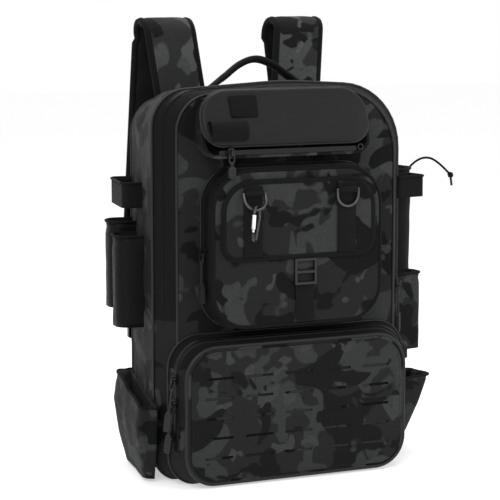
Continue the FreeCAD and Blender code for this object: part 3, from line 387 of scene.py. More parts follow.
def bandBetween(name, rearLoop, frontLoop, rearY, frontY, steps, bulge, crease, material, body,
        wall=0.0025, seed=0.0, puckers=0.0):
    # the gusset between two outlines, swelling slightly and creased across
    count = len(rearLoop)
    points = []
    middle = sum(rearLoop, Vector((0, 0))) / count
    for j in range(steps + 1):
        share = j / steps
        for i in range(count):
            here = rearLoop[i].lerp(frontLoop[i], share)
            out = (here - middle).normalized()
            swell = bulge * math.sin(math.pi * share)
            spot = (here.x, rearY + (frontY - rearY) * share, here.y)
            edge = math.sin(math.pi * share)
            swell += edge * ruffle(spot, crease, 0.035, seed)
            swell += puckers * edge * noise.noise(Vector((spot[0] * 60, share * 1.5, spot[2] * 60 + seed)))
            points.append((here.x + out.x * swell, spot[1], here.y + out.y * swell))
    piece = finishMesh(name, points, gridFaces(steps, count), material, body)
    thicken(piece, wall)
    return piece


def padPanel(name, corners, backY, frontY, crown, material, body, matrix=None, crease=0.0,
        edge=0.003, seed=0.0, reach=0.03, step=0.008):
    # a closed panel: flat behind, rounded at its rim, crowned in front; front is towards -Y
    insets = [0, edge * 0.3, edge, edge * 2, edge * 3.4, edge * 6]
    rises = [edge, edge * 0.3, 0, 0, 0, 0]
    outer = loopPoints(corners, 0, step=step)
    count = len(outer)
    layers = [[(p.x, backY, p.y) for p in outer]]
    rings = [loopPoints(corners, inset, step=step) for inset in insets]
    for ring, inset, rise in zip(rings, insets, rises):
        swell = crown * (1 - math.exp(-inset / reach))
        layers.append([(p.x, frontY + rise - swell, p.y) for p in ring])
    inner = rings[-1]
    middle = sum(inner, Vector((0, 0))) / count
    for share in (0.86, 0.72, 0.58, 0.44, 0.3, 0.16, 0.05):
        ring = [middle + (p - middle) * share for p in inner]
        layer = []
        for p, q in zip(ring, inner):
            away = edge * 6 + (p - q).length
            layer.append((p.x, frontY - crown * (1 - math.exp(-away / reach)), p.y))
        layers.append(layer)
    points = []
    for index, layer in enumerate(layers):
        for p in layer:
            if crease and index > 2:
                hold = min(1, (index - 2) / 3)
                p = (p[0], p[1] - hold * ruffle(p, crease, 0.04, seed), p[2])
            points.append(p)
    faces = gridFaces(len(layers) - 1, count)
    faces.append(tuple((len(layers) - 1) * count + i for i in range(count)))
    faces.append(tuple(reversed(range(count))))
    if matrix is not None:
        points = [matrix @ Vector(p) for p in points]
    return finishMesh(name, points, faces, material, body)


def tube(name, path, radius, material, body, closed=True, sides=8, flat=1.0):
    # a round or flattened tube along 3D points; radius may shrink in one direction by flat
    count = len(path)
    points, faces = [], []
    for i, here in enumerate(path):
        here = Vector(here)
        before = Vector(path[i - 1] if closed or i else path[0])
        after = Vector(path[(i + 1) % count] if closed or i < count - 1 else path[-1])
        along = (after - before).normalized()
        side = along.cross(Vector((0, 1, 0)))
        if side.length < 0.05:
            side = along.cross(Vector((1, 0, 0)))
        side.normalize()
        up = side.cross(along).normalized()
        for k in range(sides):
            angle = 2 * math.pi * k / sides
            points.append(here + side * math.cos(angle) * radius + up * math.sin(angle) * radius * flat)
    rows = count if closed else count - 1
    for i in range(rows):
        for k in range(sides):
            a, b = i * sides + k, i * sides + (k + 1) % sides
            c, d = ((i + 1) % count) * sides + (k + 1) % sides, ((i + 1) % count) * sides + k
            faces.append((a, b, c, d))
    if not closed:
        faces.append(tuple(range(sides)))
        faces.append(tuple(reversed([(count - 1) * sides + k for k in range(sides)])))
    finishMesh(name, points, faces, material, body)


def ring3d(points, y):
    return [Vector((p.x, y, p.y)) for p in points]


# Repeated small things: a Geometry Nodes tree that sets beads along a line


def beadTree(name, material, boxy):
    tree = bpy.data.node_groups.new(name, "GeometryNodeTree")
    tree.interface.new_socket("Geometry", in_out="INPUT", socket_type="NodeSocketGeometry")
    for label, value in (("Spacing", 0.003), ("Bead length", 0.002), ("Bead width", 0.0006), ("Bead height",
            0.0006)):
        socket = tree.interface.new_socket(label, in_out="INPUT", socket_type="NodeSocketFloat")
        socket.default_value = value
    tree.interface.new_socket("Geometry", in_out="OUTPUT", socket_type="NodeSocketGeometry")
    make = tree.nodes.new
    entry, outlet = make("NodeGroupInput"), make("NodeGroupOutput")
    curve, resample = make("GeometryNodeMeshToCurve"), make("GeometryNodeResampleCurve")
    resample.mode = "LENGTH"
    place = make("GeometryNodeInstanceOnPoints")
    real = make("GeometryNodeRealizeInstances")
    paint = make("GeometryNodeSetMaterial")
    turn, tangent = make("FunctionNodeAlignRotationToVector"), make("GeometryNodeInputTangent")
    turn.axis = "X"
    size = make("ShaderNodeCombineXYZ")
    if boxy:
        bead = make("GeometryNodeMeshCube")
        bead.inputs["Size"].default_value = (1, 1, 1)
    else:
        bead = make("GeometryNodeMeshUVSphere")
        bead.inputs["Segments"].default_value = 6
        bead.inputs["Rings"].default_value = 4
        bead.inputs["Radius"].default_value = 0.5
    paint.inputs["Material"].default_value = material
    link(tree, entry.outputs["Geometry"], curve.inputs["Mesh"])
    link(tree, curve.outputs["Curve"], resample.inputs["Curve"])
    link(tree, entry.outputs["Spacing"], resample.inputs["Length"])
    link(tree, resample.outputs["Curve"], place.inputs["Points"])
    link(tree, bead.outputs["Mesh"], place.inputs["Instance"])
    link(tree, tangent.outputs["Tangent"], turn.inputs["Vector"])
    link(tree, turn.outputs["Rotation"], place.inputs["Rotation"])
    link(tree, entry.outputs["Bead length"], size.inputs["X"])
    link(tree, entry.outputs["Bead width"], size.inputs["Y"])
    link(tree, entry.outputs["Bead height"], size.inputs["Z"])
    link(tree, size.outputs["Vector"], place.inputs["Scale"])
    link(tree, place.outputs["Instances"], real.inputs["Geometry"])
    link(tree, real.outputs["Geometry"], paint.inputs["Geometry"])
    link(tree, paint.outputs["Geometry"], outlet.inputs["Geometry"])
    return tree


stitchTree = beadTree("stitch_row", threadBlack, False)
teethTree = beadTree("zip_teeth", coilBlack, True)


def beads(name, lines, tree, values, body):
    # lines are lists of 3D points; every line gets its row of beads, all in one mesh
    mesh = bpy.data.meshes.new(name)
    points, edges = [], []
    for line, closed in lines:
        start = len(points)
        points += [tuple(p) for p in line]
        edges += [(start + i, start + i + 1) for i in range(len(line) - 1)]
        if closed:
            edges.append((start + len(line) - 1, start))
    mesh.from_pydata(points, edges, [])
    piece = bpy.data.objects.new(name, mesh)
    scene.collection.objects.link(piece)
    modifier = piece.modifiers.new("beads", "NODES")
    modifier.node_group = tree
    sockets = {s.name: s.identifier for s in tree.interface.items_tree if s.in_out == "INPUT"}
    for key, value in values.items():
        modifier[sockets[key]] = value
    applyModifiers(piece)
    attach(piece, body)


stitchSize = {"Spacing": 0.0034, "Bead length": 0.0023, "Bead width": 0.0006, "Bead height": 0.0006}
teethSize = {"Spacing": 0.0018, "Bead length": 0.0009, "Bead width": 0.0042, "Bead height": 0.0008}

# The bag's soft boxes

bagSet = {"half": 0.170, "faceHalf": 0.150, "backHalf": 0.150, "high": 0.497, "seamY": -0.060,
        "backY": 0.066, "bulge": 0.004, "crease": 0.0030}


def bagCorners(half, high, drop=0.010, low=0.0):
    return [(-half, low, 0.036), (half, low, 0.036), (half, high - drop, 0.084), (0.006, high, 0.56),
            (-half, high - drop, 0.046)]


seamCorners = bagCorners(bagSet["half"], bagSet["high"])
seamLoop = loopPoints(seamCorners)
backLoop = loopPoints(bagCorners(bagSet["backHalf"], bagSet["high"] - 0.017), like=seamCorners)
faceLoop = loopPoints(bagCorners(bagSet["faceHalf"], bagSet["high"] - 0.003), like=seamCorners)

rearShell = bandBetween("rear_shell", seamLoop, backLoop, bagSet["seamY"], bagSet["backY"], 26,
        bagSet["bulge"], bagSet["crease"], camoCloth, "bag", 0.003, 1.0, 0.0012)
padPanel("rear_back", bagCorners(bagSet["backHalf"] - 0.001, bagSet["high"] - 0.018), 0.060, -0.0655, 0.0,
        blackCloth, "bag", Matrix.Rotation(math.pi, 4, "Z"), 0.0004)
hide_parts("rear_compartment")

frontBand = bandBetween("front_band", seamLoop, faceLoop, bagSet["seamY"], -0.0895, 10, 0.0006, 0.0006,
        gussetCloth, "bag", 0.0025, 2.0)
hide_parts("front_gusset")
frontFace = padPanel("front_face", bagCorners(bagSet["faceHalf"], bagSet["high"] - 0.006, low=0.0003),
        -0.080, -0.0895, 0.0, camoCloth, "bag", None, 0.0, 0.0022)
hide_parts("front_panel")

tube("seam_piping", ring3d(loopPoints(bagCorners(0.1705, 0.4975)), -0.060), 0.0017, pipingBlack, "bag")
tube("back_piping", ring3d(loopPoints(bagCorners(0.1502, 0.4802)), 0.0650), 0.0019, pipingBlack, "bag")
tube("face_piping", ring3d(loopPoints(bagCorners(0.1503, 0.4925), 0.0006), -0.0893), 0.0019, pipingBlack,
     "bag")
beads("face_stitches", [(ring3d(loopPoints(bagCorners(0.150, 0.491), 0.0055), -0.0896), True)], stitchTree,
      stitchSize, "bag")
print("bag boxes made")

# Middle and bottom pockets


def boxCorners(left, right, low, high, lowRound, highRound):
    return [(left, low, lowRound), (right, low, lowRound), (right, high, highRound), (left, high,
            highRound)]


def setCorners(values, grow=0.0):
    half = values["half"] + grow
    return boxCorners(-half, half, values["low"] - grow, values["high"] + grow, values["lowRound"] + grow,
            values["highRound"] + grow)


midSet = {"half": 0.114, "low": 0.199, "high": 0.392, "lowRound": 0.044, "highRound": 0.048}
midRootSet = {"half": 0.119, "low": 0.194, "high": 0.397, "lowRound": 0.044, "highRound": 0.048}
midRear = loopPoints(setCorners(midRootSet), step=0.006, like=setCorners(midSet))
midFront = loopPoints(setCorners(midSet), step=0.006)
midBand = bandBetween("mid_band", midRear, midFront, -0.0895, -0.1157, 8, 0.0003, 0.0005, gussetCloth,
        "bag", 0.0028, 4.0)
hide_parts("mid_gusset")
midFace = padPanel("mid_face", setCorners(midSet), -0.1162, -0.1208, 0.0012, camoCloth, "mid_cover",
        None, 0.0, 0.0022)
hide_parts("mid_panel")
tube("mid_piping", ring3d(loopPoints(setCorners(midSet, 0.0002), step=0.006), -0.1196), 0.0026,
     bindingCloth, "mid_cover")
tube("mid_root_piping", ring3d(midRear, -0.0905), 0.0014, pipingBlack, "bag")

lowSet = {"half": 0.150, "low": 0.005, "high": 0.176, "lowRound": 0.038, "highRound": 0.040}
lowRootSet = {"half": 0.163, "low": 0.0006, "high": 0.189, "lowRound": 0.038, "highRound": 0.040}
lowCorners = setCorners(lowSet)
lowRear = loopPoints(setCorners(lowRootSet), step=0.007, like=lowCorners)
lowFront = loopPoints(lowCorners, step=0.007)
lowBand = bandBetween("bottom_band", lowRear, lowFront, -0.0895, -0.1157, 8, 0.0002, 0.0004, lowerCloth,
        "bag", 0.0028, 6.0)
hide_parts("bottom_gusset")
lowFace = padPanel("bottom_face", lowCorners, -0.1162, -0.1217, 0.0, camoCloth, "bottom_cover",
        None, 0.0, 0.002)
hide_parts("bottom_panel")
tube("bottom_piping", ring3d(loopPoints(lowCorners, -0.0003, step=0.007), -0.1196), 0.0026, pipingBlack,
     "bottom_cover")
tube("bottom_root_piping", ring3d(lowRear, -0.0905), 0.0015, pipingBlack, "bag")
beads("slotted_sheet_stitches", [(ring3d(loopPoints(lowCorners, 0.0072, step=0.007), -0.1237), True)],
      stitchTree, stitchSize, "bottom_cover")

flapSet = {"half": 0.105, "low": 0.281, "high": 0.381, "lowRound": 0.022, "highRound": 0.040}
flapCorners = setCorners(flapSet)
flapFace = padPanel("flap_face", flapCorners, -0.1224, -0.1249, 0.0, camoCloth, "flap", None,
        0.0, 0.0008)
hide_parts("front_flap")
tube("flap_binding", ring3d(loopPoints(flapCorners, 0.0030, step=0.006), -0.1240), 0.0036, bindingCloth,
     "flap", True, 10, 0.5)
beads("flap_stitches", [(ring3d(loopPoints(flapCorners, 0.0052, step=0.006), -0.1257), True)], stitchTree,
      stitchSize, "flap")
print("pockets made")

# Moulded case and its lid

caseSet = {"middle": -0.013, "half": 0.113, "front": 0.118, "low": 0.408, "lip": 0.014, "high": 0.489,
        "topFront": 0.094, "clear": 0.0004}
slope = (caseSet["front"] - caseSet["topFront"]) / (caseSet["high"] - caseSet["low"] - caseSet["lip"])
tilt = math.atan(slope)
lidHigh = (caseSet["high"] - caseSet["low"] - caseSet["lip"]) / math.cos(tilt)
lidPlace = (Matrix.Translation((caseSet["middle"], -caseSet["front"] - caseSet["clear"] * math.cos(tilt),
        caseSet["low"] + caseSet["lip"] + caseSet["clear"] * math.sin(tilt)))
        @ Matrix.Rotation(-tilt, 4, "X"))
lidCorners = boxCorners(-caseSet["half"], caseSet["half"], 0, lidHigh, 0.026, 0.036)
lidDome = padPanel("lid_dome", lidCorners, -0.0004, -0.0070, 0.0022, caseBlack, "lid",
        lidPlace, 0.0, 0.0032, 0.0, 0.02, 0.006)
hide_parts("case_lid")
lidRim = [lidPlace @ p for p in ring3d(loopPoints(lidCorners, 0.0002, step=0.006), -0.0018)]
tube("lid_rim", lidRim, 0.0016, pipingBlack, "lid", True, 8, 0.8)
beads("lid_stitches", [([lidPlace @ p for p in ring3d(loopPoints(lidCorners, 0.006, step=0.006), -0.0076)],
        True)], stitchTree, stitchSize, "lid")


# Tool sleeve on the lid: a half-round fabric pocket
sleevePoints = []
across, around = 20, 16
for i in range(across + 1):
    share = i / across
    for k in range(around + 1):
        angle = math.pi * k / around
        high = 0.0175 - 0.0132 * math.cos(angle)
        out = 0.0085 + 0.0128 * math.sin(angle) ** 0.6
        spot = (-0.107 + 0.048 * share, -out, high)
        crease = ruffle(spot, 0.0006, 0.012, 3.0)
        sleevePoints.append(lidPlace @ Vector((spot[0], spot[1] - crease * math.sin(angle), spot[2])))
sleeveFaces = gridFaces(across, around + 1, False)
toolSleeve = finishMesh("tool_sleeve_cloth", sleevePoints, sleeveFaces, blackCloth, "lid")
thicken(toolSleeve, 0.0014)
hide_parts("tool_sleeve")
toolFlap = padPanel("tool_flap_cloth", boxCorners(-0.075, -0.039, 0.034, 0.062, 0.003, 0.003), -0.0092,
        -0.0112, 0.0004, blackCloth, "lid", lidPlace, 0.0004, 0.0007, 2.0, 0.01, 0.003)
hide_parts("tool_sleeve_flap")

# Shoulder straps: padded ribbons with bound edges

strapSet = {"thick": 0.0100, "wide": 0.064, "middle": 0.080, "lean": 0.013, "top": 0.575, "root": 0.462,
        "low": 0.176, "spread": 0.034, "back": 0.105, "fold": 0.0803, "behind": 0.1303, "bend": 0.022}


def bentLine(points, radii, step=0.006):
    # an open line in the side view with rounded corners, as (y, z)
    line = [Vector(points[0])]
    for i in range(1, len(points) - 1):
        here = Vector(points[i])
        towards = (Vector(points[i - 1]) - here).normalized()
        away = (Vector(points[i + 1]) - here).normalized()
        half = towards.angle(away) / 2
        centre = here + (towards + away).normalized() * (radii[i] / math.sin(half))
        first = here + towards * radii[i] / math.tan(half) - centre
        last = here + away * radii[i] / math.tan(half) - centre
        line += arcPoints(centre, first, last, 8)
    line.append(Vector(points[-1]))
    full = [line[0]]
    for a, b in zip(line, line[1:]):
        pieces = max(1, round((b - a).length / step))
        full += [a.lerp(b, k / pieces) for k in range(1, pieces + 1)]
    return full


def paddedStrap(side, name, node, shift):
    half = strapSet["thick"] / 2
    gap = half + 0.0005
    line = bentLine([(0.0663 + gap, strapSet["root"]), (strapSet["fold"] + gap, strapSet["top"] - gap),
            (strapSet["behind"] - gap, strapSet["top"] - gap), (strapSet["back"] - gap, strapSet["low"])],
            [0, strapSet["bend"] - gap, strapSet["bend"] - gap, 0])
    topIndex = max(range(len(line)), key=lambda i: line[i].y)
    sections = 14
    points, left, right = [], [], []
    for i, spot in enumerate(line):
        before, after = line[max(0, i - 1)], line[min(len(line) - 1, i + 1)]
        along = (after - before).normalized()
        out = Vector((-along.y, along.x))
        if i <= topIndex or spot.y > strapSet["top"] - 0.03:
            share = min(1, (spot.y - strapSet["root"]) / (strapSet["top"] - strapSet["root"]))
            centre = side * (strapSet["middle"] + strapSet["lean"] * share) + shift
            width = strapSet["wide"] / 2
        else:
            share = (strapSet["top"] - 0.03 - spot.y) / (strapSet["top"] - 0.03 - strapSet["low"])
            start = side * (strapSet["middle"] + strapSet["lean"]) + shift
            finish = side * (strapSet["middle"] + strapSet["lean"] + strapSet["spread"])
            centre = start + (finish - start) * share
            width = strapSet["wide"] / 2 * (1 - 0.2 * share)
        for k in range(sections * 2):
            lower = k >= sections
            j = k if not lower else 2 * sections - 1 - k
            u = -1 + 2 * j / (sections - 1)
            puff = half * (1 - abs(u) ** 6 * 0.55)
            puff += ruffle((u * 0.03, spot.x, spot.y), 0.0005, 0.02, side * 3) * (1 - abs(u) ** 4)
            x = centre + width * u
            level = -puff if lower else puff
            points.append((x, spot.x + out.x * level, spot.y + out.y * level))
        left.append(Vector((centre - width + 0.0008, spot.x, spot.y)))
        right.append(Vector((centre + width - 0.0008, spot.x, spot.y)))
    ring = sections * 2
    rows = len(line)
    faces = gridFaces(rows - 1, ring)
    faces.append(tuple(range(ring)))
    faces.append(tuple(reversed([(rows - 1) * ring + k for k in range(ring)])))
    # the straps' cloth is the brightened copy of the camouflage: painted light
    strap = finishMesh(name, points, faces, strapClothPaintedLight, "bag")
    strap.data.materials.append(padMesh)
    for face in strap.data.polygons:
        centre = face.center
        towardsFront = face.normal.y < -0.25 if centre.y < 0.1 else face.normal.y > 0.25
        face.material_index = 0 if towardsFront or centre.z > strapSet["top"] - 0.012 else 1
    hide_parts(node)
    for edgeName, edgeLine in (("inner", left), ("outer", right)):
        tube(f"{name}_{edgeName}_binding", edgeLine, 0.0050, bindingCloth, "bag", False, 8,
             0.95)


paddedStrap(-1, "strap_pad_left", "shoulder_strap_left", 0.003)
paddedStrap(1, "strap_pad_right", "shoulder_strap_right", 0.006)
print("straps made")


bevelSet = {"width": 0.0003, "segments": 2}


def cadBevel(node, name, material, body):
    # a band's own solid, merged, with softened edges
    mesh = nodes[node].data.copy()
    shape = bmesh.new()
    shape.from_mesh(mesh)
    bmesh.ops.remove_doubles(shape, verts=shape.verts, dist=0.00002)
    bmesh.ops.dissolve_limit(shape, angle_limit=0.02, verts=shape.verts, edges=shape.edges)
    shape.to_mesh(mesh)
    shape.free()
    mesh.materials.clear()
    mesh.materials.append(material)
    piece = bpy.data.objects.new(name, mesh)
    scene.collection.objects.link(piece)
    modifier = piece.modifiers.new("soft edges", "BEVEL")
    modifier.width = bevelSet["width"]
    modifier.segments = bevelSet["segments"]
    modifier.limit_method = "ANGLE"
    applyModifiers(piece)
    for face in piece.data.polygons:
        face.use_smooth = True
    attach(piece, body)
    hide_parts(node)


for side in ("left", "right"):
    cadBevel(f"flap_webbing_{side}", f"flap_band_{side}", bandCloth, "flap")
    cadBevel(f"strap_webbing_{side}", f"strap_band_{side}", bandCloth, "bag")
cadBevel("compression_strap", "compression_band", bandCloth, "mid_cover")

# Carry handle: padded bow

handleSet = {"y": 0.006, "wide": 0.022, "base": 0.483, "lean": 0.017 / 0.126, "steps": 80, "sides": 16}
handlePoints = []
knots = [(-0.093, 0.4840), (-0.080, 0.4842), (-0.066, 0.4872), (-0.045, 0.5002), (-0.022, 0.5160), (0,
        0.5225), (0.022, 0.5160), (0.045, 0.5002), (0.066, 0.4872), (0.080, 0.4842), (0.093, 0.4840)]
lean = Matrix.Translation((0, handleSet["y"], handleSet["base"]))
lean = lean @ Matrix.Rotation(-math.atan(handleSet["lean"]), 4, "X")
lean = lean @ Matrix.Translation((0, -handleSet["y"], -handleSet["base"]))
steps, sides = handleSet["steps"], handleSet["sides"]
for i in range(steps + 1):
    t = i / steps * (len(knots) - 1)
    a = min(int(t), len(knots) - 2)
    f = t - a
    p = [Vector(knots[min(max(a + o, 0), len(knots) - 1)]) for o in (-1, 0, 1, 2)]
    spot = 0.5 * ((2 * p[1]) + (p[2] - p[0]) * f + (2 * p[0] - 5 * p[1] + 4 * p[2] - p[3]) * f * f
            + (3 * p[1] - p[0] - 3 * p[2] + p[3]) * f ** 3)
    middle = 1 - min(1, abs(spot.x) / 0.085)
    thick = 0.0009 + 0.0037 * min(1, middle * 2.2)
    wide = handleSet["wide"] / 2 * (1 - 0.18 * min(1, middle * 1.6))
    for k in range(sides):
        angle = 2 * math.pi * k / sides
        c, s = math.cos(angle), math.sin(angle)
        handlePoints.append((spot.x, handleSet["y"] + wide * abs(c) ** 0.7 * (1 if c >= 0 else -1),
                spot.y + thick * abs(s) ** 0.7 * (1 if s >= 0 else -1)))
handleFaces = gridFaces(steps, sides)
handleFaces.append(tuple(range(sides)))
handleFaces.append(tuple(reversed([steps * sides + k for k in range(sides)])))
handlePoints = [lean @ Vector(p) for p in handlePoints]
handle = finishMesh("handle_bow", handlePoints, handleFaces, blackCloth, "bag")
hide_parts("carry_handle")

# Back cushions


cushionSet = {"voxel": 0.004, "pressure": 4, "quality": 5, "frames": 20, "swell": 0.004, "channel": 0.004}


def cushion(name, node):
    low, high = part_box(node)
    mesh = nodes[node].data.copy()
    shape = bmesh.new()
    shape.from_mesh(mesh)
    bmesh.ops.remove_doubles(shape, verts=shape.verts, dist=0.00002)
    middle = (low + high) / 2
    for vertex in shape.verts:
        vertex.co.x += (middle.x - vertex.co.x) * 0.02
        vertex.co.z += (middle.z - vertex.co.z) * 0.01
    shape.to_mesh(mesh)
    shape.free()
    mesh.materials.clear()
    piece = bpy.data.objects.new(name, mesh)
    scene.collection.objects.link(piece)
    remesh = piece.modifiers.new("voxels", "REMESH")
    remesh.mode = "VOXEL"
    remesh.voxel_size = cushionSet["voxel"]
    applyModifiers(piece)
    rest = [v.co.copy() for v in piece.data.vertices]
    cloth = piece.modifiers.new("puff", "CLOTH")
    cloth.settings.use_pressure = True
    cloth.settings.uniform_pressure_force = cushionSet["pressure"]
    cloth.settings.effector_weights.gravity = 0
    cloth.settings.quality = cushionSet["quality"]
    for step in range(1, cushionSet["frames"] + 1):
        scene.frame_set(step)
    applyModifiers(piece)
    scene.frame_set(1)
    for vertex, start in zip(piece.data.vertices, rest):
        move = vertex.co - start
        if move.length > cushionSet["swell"]:
            vertex.co = start + move.normalized() * cushionSet["swell"]
        if start.y < low.y + 0.002:
            vertex.co.y = max(vertex.co.y, low.y)
    for vertex in piece.data.vertices:
        if vertex.co.y > low.y + 0.006:
            # two sewn channels across the pad
            for line in (0.33, 0.67):
                away = abs(vertex.co.z - (low.z + (high.z - low.z) * line))
                vertex.co.y -= cushionSet["channel"] * math.exp(-(away / cushionSet["channel"]) ** 2)
    for face in piece.data.polygons:
        face.use_smooth = True
    piece.data.materials.append(padMesh)
    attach(piece, "bag")
    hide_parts(node)


cushion("cushion_left", "back_pad_left")
cushion("cushion_right", "back_pad_right")
cushion("cushion_lumbar", "lumbar_pad")
print("cushions made")

# Side fittings: loops, sleeves and pockets on the slanting side walls

wallSlope = (0.170 - 0.150) / (0.066 + 0.060)


def sideMatrix(sign, along):
    place = Matrix.Translation((sign * (0.170 - wallSlope * (along + 0.060)), along, 0))
    return place @ Matrix.Rotation(sign * (math.pi / 2 + math.atan(wallSlope)), 4, "Z")


def wallShell(name, node, sign, along, layers, corner, wall, material, closed=False, foldCount=0,
        folds=0.0, crease=0.0006, floor=False, rows=14, slant=0.0):
    # layers are (height, half width, reach); local -Y is outwards. Folds run up the cloth.
    matrix = sideMatrix(sign, along)
    points = []
    for j in range(rows + 1):
        share = j / rows
        spot = share * (len(layers) - 1)
        index = min(int(spot), len(layers) - 2)
        low, high = layers[index], layers[index + 1]
        part = spot - index
        height, half, out = (low[n] + (high[n] - low[n]) * part for n in range(3))
        root = -0.0004 if closed else 0.0012
        path = [Vector((-half, root)), Vector((-half, -out)), Vector((half, -out)), Vector((half, root))]
        line = []
        for i in (1, 2):
            towards, away = (path[i - 1] - path[i]).normalized(), (path[i + 1] - path[i]).normalized()
            r = min(corner, out * 0.95, half * 0.95)
            centre = path[i] + (towards + away) * r
            first, last = path[i] + towards * r - centre, path[i] + away * r - centre
            line += arcPoints(centre, first, last, 8)
        full = []
        stretch = [path[0]] + line + [path[3]]
        for a, b, pieces in [(stretch[0], stretch[1], 6)] + [(line[k], line[k + 1],
                1) for k in range(8)] + [
                (line[8], line[9], 14)] + [(line[k], line[k + 1], 1) for k in range(9, 17)] + [(line[17],
                path[3], 6)]:
            full += [a.lerp(b, k / pieces) for k in range(pieces)]
        full.append(path[3])
        if closed:
            full += [path[3].lerp(path[0], k / 10) for k in range(1, 10)]
        count = len(full)
        for i, p in enumerate(full):
            u = i / (count - 1)
            out2 = Vector((p.x, p.y + out * 0.4)).normalized()
            front = min(1, max(0, (-p.y) / max(out * 0.5, 0.001)))
            move = folds * front * math.sin(u * foldCount * math.pi * 2 + share * 1.5) * (0.25 + 0.75 * share)
            move += front * ruffle((u * 0.2, height, sign), crease, 0.03, along * 40)
            move -= 0.0012 * front if 0.9 < share < 0.97 else 0
            q = p + out2 * (move - folds * 0.6 * front)
            points.append(matrix @ Vector((q.x, q.y, height - slant * share ** 2 * q.x / half)))
    faces = gridFaces(rows, count, closed)
    if floor:
        faces.append(tuple(range(count)))
    piece = finishMesh(name, points, faces, material, "bag")
    thicken(piece, wall)
    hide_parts(node)
    rim = points[-count:]
    tube(name + "_hem", rim, 0.0017 if corner > 0.005 else 0.0014, bindingCloth, "bag",
         closed, 8)


wallShell("rod_loop_left", "rod_strap_left", -1, 0.026, [(0.340, 0.040, 0.028), (0.371, 0.040, 0.028)],
        0.009, 0.0024, sideBand, crease=0.0003, rows=6)
wallShell("rod_tube_front", "rod_sleeve_left_front", -1, -0.002, [(0.190, 0.021, 0.038),
        (0.305, 0.021, 0.038)], 0.0168, 0.0025, smoothCloth)
wallShell("rod_tube_rear", "rod_sleeve_left_rear", -1, 0.043, [(0.208, 0.021, 0.038),
        (0.318, 0.021, 0.038)], 0.0168, 0.0025, smoothCloth)
wallShell("side_pocket_left", "rod_pocket_left", -1, -0.004, [(0.004, 0.060, 0.014), (0.040, 0.071, 0.022),
        (0.078, 0.079, 0.027), (0.108, 0.078, 0.022)], 0.012, 0.003,
        camoCloth, True, 5, 0.0022, 0.002, True, 24, 0.010)
wallShell("rod_loop_right", "rod_strap_right", 1, -0.046, [(0.342, 0.017, 0.044), (0.369, 0.017, 0.044)],
        0.006, 0.0024, sideBand, crease=0.0003, rows=6)
wallShell("rod_tube_right", "rod_sleeve_right", 1, -0.046, [(0.140, 0.014, 0.044), (0.241, 0.014, 0.044)],
        0.0098, 0.0025, camoCloth)
wallShell("side_pocket_right", "rod_pocket_right", 1, -0.046, [(0.028, 0.019, 0.017),
        (0.066, 0.0225, 0.039), (0.104, 0.024, 0.055)], 0.009, 0.003, camoCloth,
        True, 3, 0.0012, 0.001, True, 20)
wallShell("bottle_pouch", "bottle_pocket", 1, 0.010, [(0.118, 0.035, 0.066), (0.374, 0.035, 0.066)], 0.031,
        0.003, blackCloth, True, 4, 0.0010, 0.0014, True, 30)
print("side fittings made")

# Drawcord of the bottle pocket

cordSet = {"diameter": 0.003}
eyelet = sideMatrix(1, 0.010) @ Vector((0, -(0.066 + 0.0015), 0.374 - 0.009))
cordSteps = [(0, 0, 0), (0.010, -0.004, 0.015), (0.029, -0.010, 0.023), (0.047, -0.015, 0.012), (0.060,
        -0.019, -0.003)]
curve = bpy.data.curves.new("drawcord", "CURVE")
curve.dimensions = "3D"
spline = curve.splines.new("NURBS")
spline.points.add(len(cordSteps) - 1)
for point, step in zip(spline.points, cordSteps):
    point.co = (*(eyelet + Vector(step)), 1)
spline.order_u = 3
spline.use_endpoint_u = True
spline.resolution_u = 12
curve.bevel_depth = cordSet["diameter"] / 2
curve.bevel_resolution = 4
curve.use_fill_caps = True
curve.materials.append(cordBlack)
drawcord = bpy.data.objects.new("drawcord", curve)
scene.collection.objects.link(drawcord)
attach(drawcord, "bag")
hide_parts("bottle_drawcord")

# Rivet ring at the lid's right end

rivetSet = {"place": (0.086, -0.1192, 0.4165), "radius": 0.0034, "wire": 0.0009, "steps": 24}
rivetTurns = [2 * math.pi * k / rivetSet["steps"] for k in range(rivetSet["steps"])]
ringPath = [Vector(rivetSet["place"]) + Vector((math.cos(a) * rivetSet["radius"], 0,
        math.sin(a) * rivetSet["radius"]))
        for a in rivetTurns]
tube("case_rivet", ringPath, rivetSet["wire"], sliderMetal, "bag")

# Zip teeth along the raised tracks


def openPart(loop, y, floor):
    # the part of a closed outline above a height, as one open run
    start = next(i for i in range(len(loop)) if loop[i].y > floor and loop[i - 1].y <= floor)
    run = []
    for i in range(len(loop)):
        p = loop[(start + i) % len(loop)]
        if p.y <= floor:
            break
        run.append(Vector((p.x, y, p.y)))
    return run


def shareLoop(rear, front, share, grow):
    loop = [a.lerp(b, share) for a, b in zip(rear, front)]
    middle = sum(loop, Vector((0, 0))) / len(loop)
    moved = []
    for i, p in enumerate(loop):
        along = (loop[(i + 1) % len(loop)] - loop[i - 1]).normalized()
        out = Vector((along.y, -along.x))
        if out.dot(p - middle) < 0:
            out = -out
        moved.append(p + out * grow)
    return moved


beads("main_zip_teeth", [(openPart(shareLoop(seamLoop, faceLoop, 0.475, 0.0019), -0.0714, 0.217), False)],
      teethTree, teethSize, "bag")
beads("mid_zip_teeth", [(openPart(shareLoop(midRear, midFront, 0.52, 0.0019), -0.1034, 0.248), False)],
      teethTree, teethSize, "bag")
beads("bottom_zip_teeth", [(openPart(shareLoop(lowRear, lowFront, 0.52, 0.0019), -0.1034, 0.045), False)],
      teethTree, teethSize, "bag")
print("zips made")

# CAD pieces that stay, each with its material

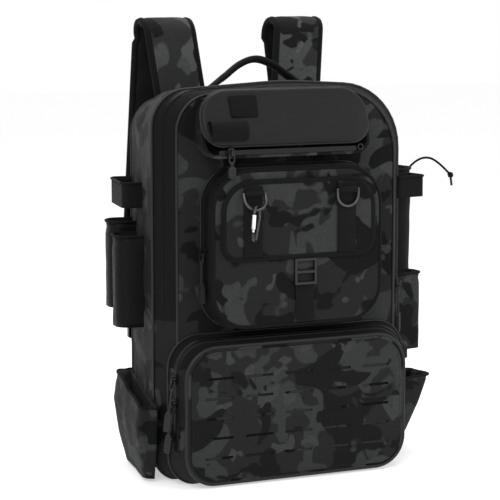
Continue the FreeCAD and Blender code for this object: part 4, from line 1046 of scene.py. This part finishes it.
finishes = {
    "case_base": camoCloth, "back_sheet": blackCloth, "strap_frame": buckleBlack,
        "molle_sheet": camoLaminate,
    "strap_adjuster_left": buckleBlack, "strap_adjuster_right": buckleBlack, "cord_eyelet": buckleBlack,
    "cord_knot": cordBlack, "d_ring_left": ringSteel, "d_ring_right": ringSteel,
        "carabiner_body": darkSteel, "carabiner_gate": linkSteel, "gate_sleeve": linkSteel,
    "front_zip_track": coilBlack, "mid_zip_track": coilBlack, "bottom_zip_track": coilBlack,
        "case_zip_track": coilBlack, }
for zipName in ("bottom_zip_upper", "bottom_zip_lower", "mid_zip", "front_zip", "case_zip"):
    finishes[zipName + "_slider"] = sliderMetal
    finishes[zipName + "_pull"] = pullRubber
for node, material in finishes.items():
    nodes[node].data.materials.clear()
    nodes[node].data.materials.append(material)

# Floor, world and lamps

floorMaterial, floorTree, floorShader = newMaterial("floor", 1.0)
floorShader.inputs["Base Color"].default_value = (0.93, 0.93, 0.93, 1)
rays = floorTree.nodes.new("ShaderNodeLightPath")
seen = maths(floorTree, "MAXIMUM", rays.outputs["Is Camera Ray"], rays.outputs["Is Glossy Ray"])
floorShader.inputs["Emission Color"].default_value = (1, 1, 1, 1)
link(floorTree, maths(floorTree, "MULTIPLY", seen, 0.5), floorShader.inputs["Emission Strength"])
floorMesh = bpy.data.meshes.new("floor")
floorMesh.from_pydata([(-8, -8, -0.0005), (8, -8, -0.0005), (8, 8, -0.0005), (-8, 8, -0.0005)], [],
        [(0, 1, 2, 3)])
floor = bpy.data.objects.new("floor", floorMesh)
floorMesh.materials.append(floorMaterial)
scene.collection.objects.link(floor)

world = bpy.data.worlds.new("studio")
scene.world = world
world.use_nodes = True
worldTree = world.node_tree
background = worldTree.nodes["Background"]
worldRays = worldTree.nodes.new("ShaderNodeLightPath")
seen = maths(worldTree, "MAXIMUM", maths(worldTree, "MAXIMUM", worldRays.outputs["Is Camera Ray"],
        worldRays.outputs["Is Glossy Ray"]), worldRays.outputs["Is Transmission Ray"])
strength = worldTree.nodes.new("ShaderNodeMix")
strength.data_type = "FLOAT"
link(worldTree, seen, strength.inputs["Factor"])
strength.inputs["A"].default_value = 0.5
strength.inputs["B"].default_value = 1.0
link(worldTree, strength.outputs["Result"], background.inputs["Strength"])
background.inputs["Color"].default_value = (1, 1, 1, 1)

lampSet = {"key": ((-1.3, -1.9, 1.9), 1.4, 26), "fill": ((1.6, -1.6, 1.1), 1.6, 11),
        "top": ((0.1, 0.3, 2.2), 1.4, 18)}
for name, (place, size, power) in lampSet.items():
    lamp = bpy.data.objects.new(name, bpy.data.lights.new(name, "AREA"))
    lamp.data.size = size
    lamp.data.energy = power
    lamp.location = place
    lamp.rotation_euler = (Vector((0, 0, 0.25)) - Vector(place)).to_track_quat("-Z", "Y").to_euler()
    scene.collection.objects.link(lamp)
print("scene lit")

bpy.context.view_layer.update()
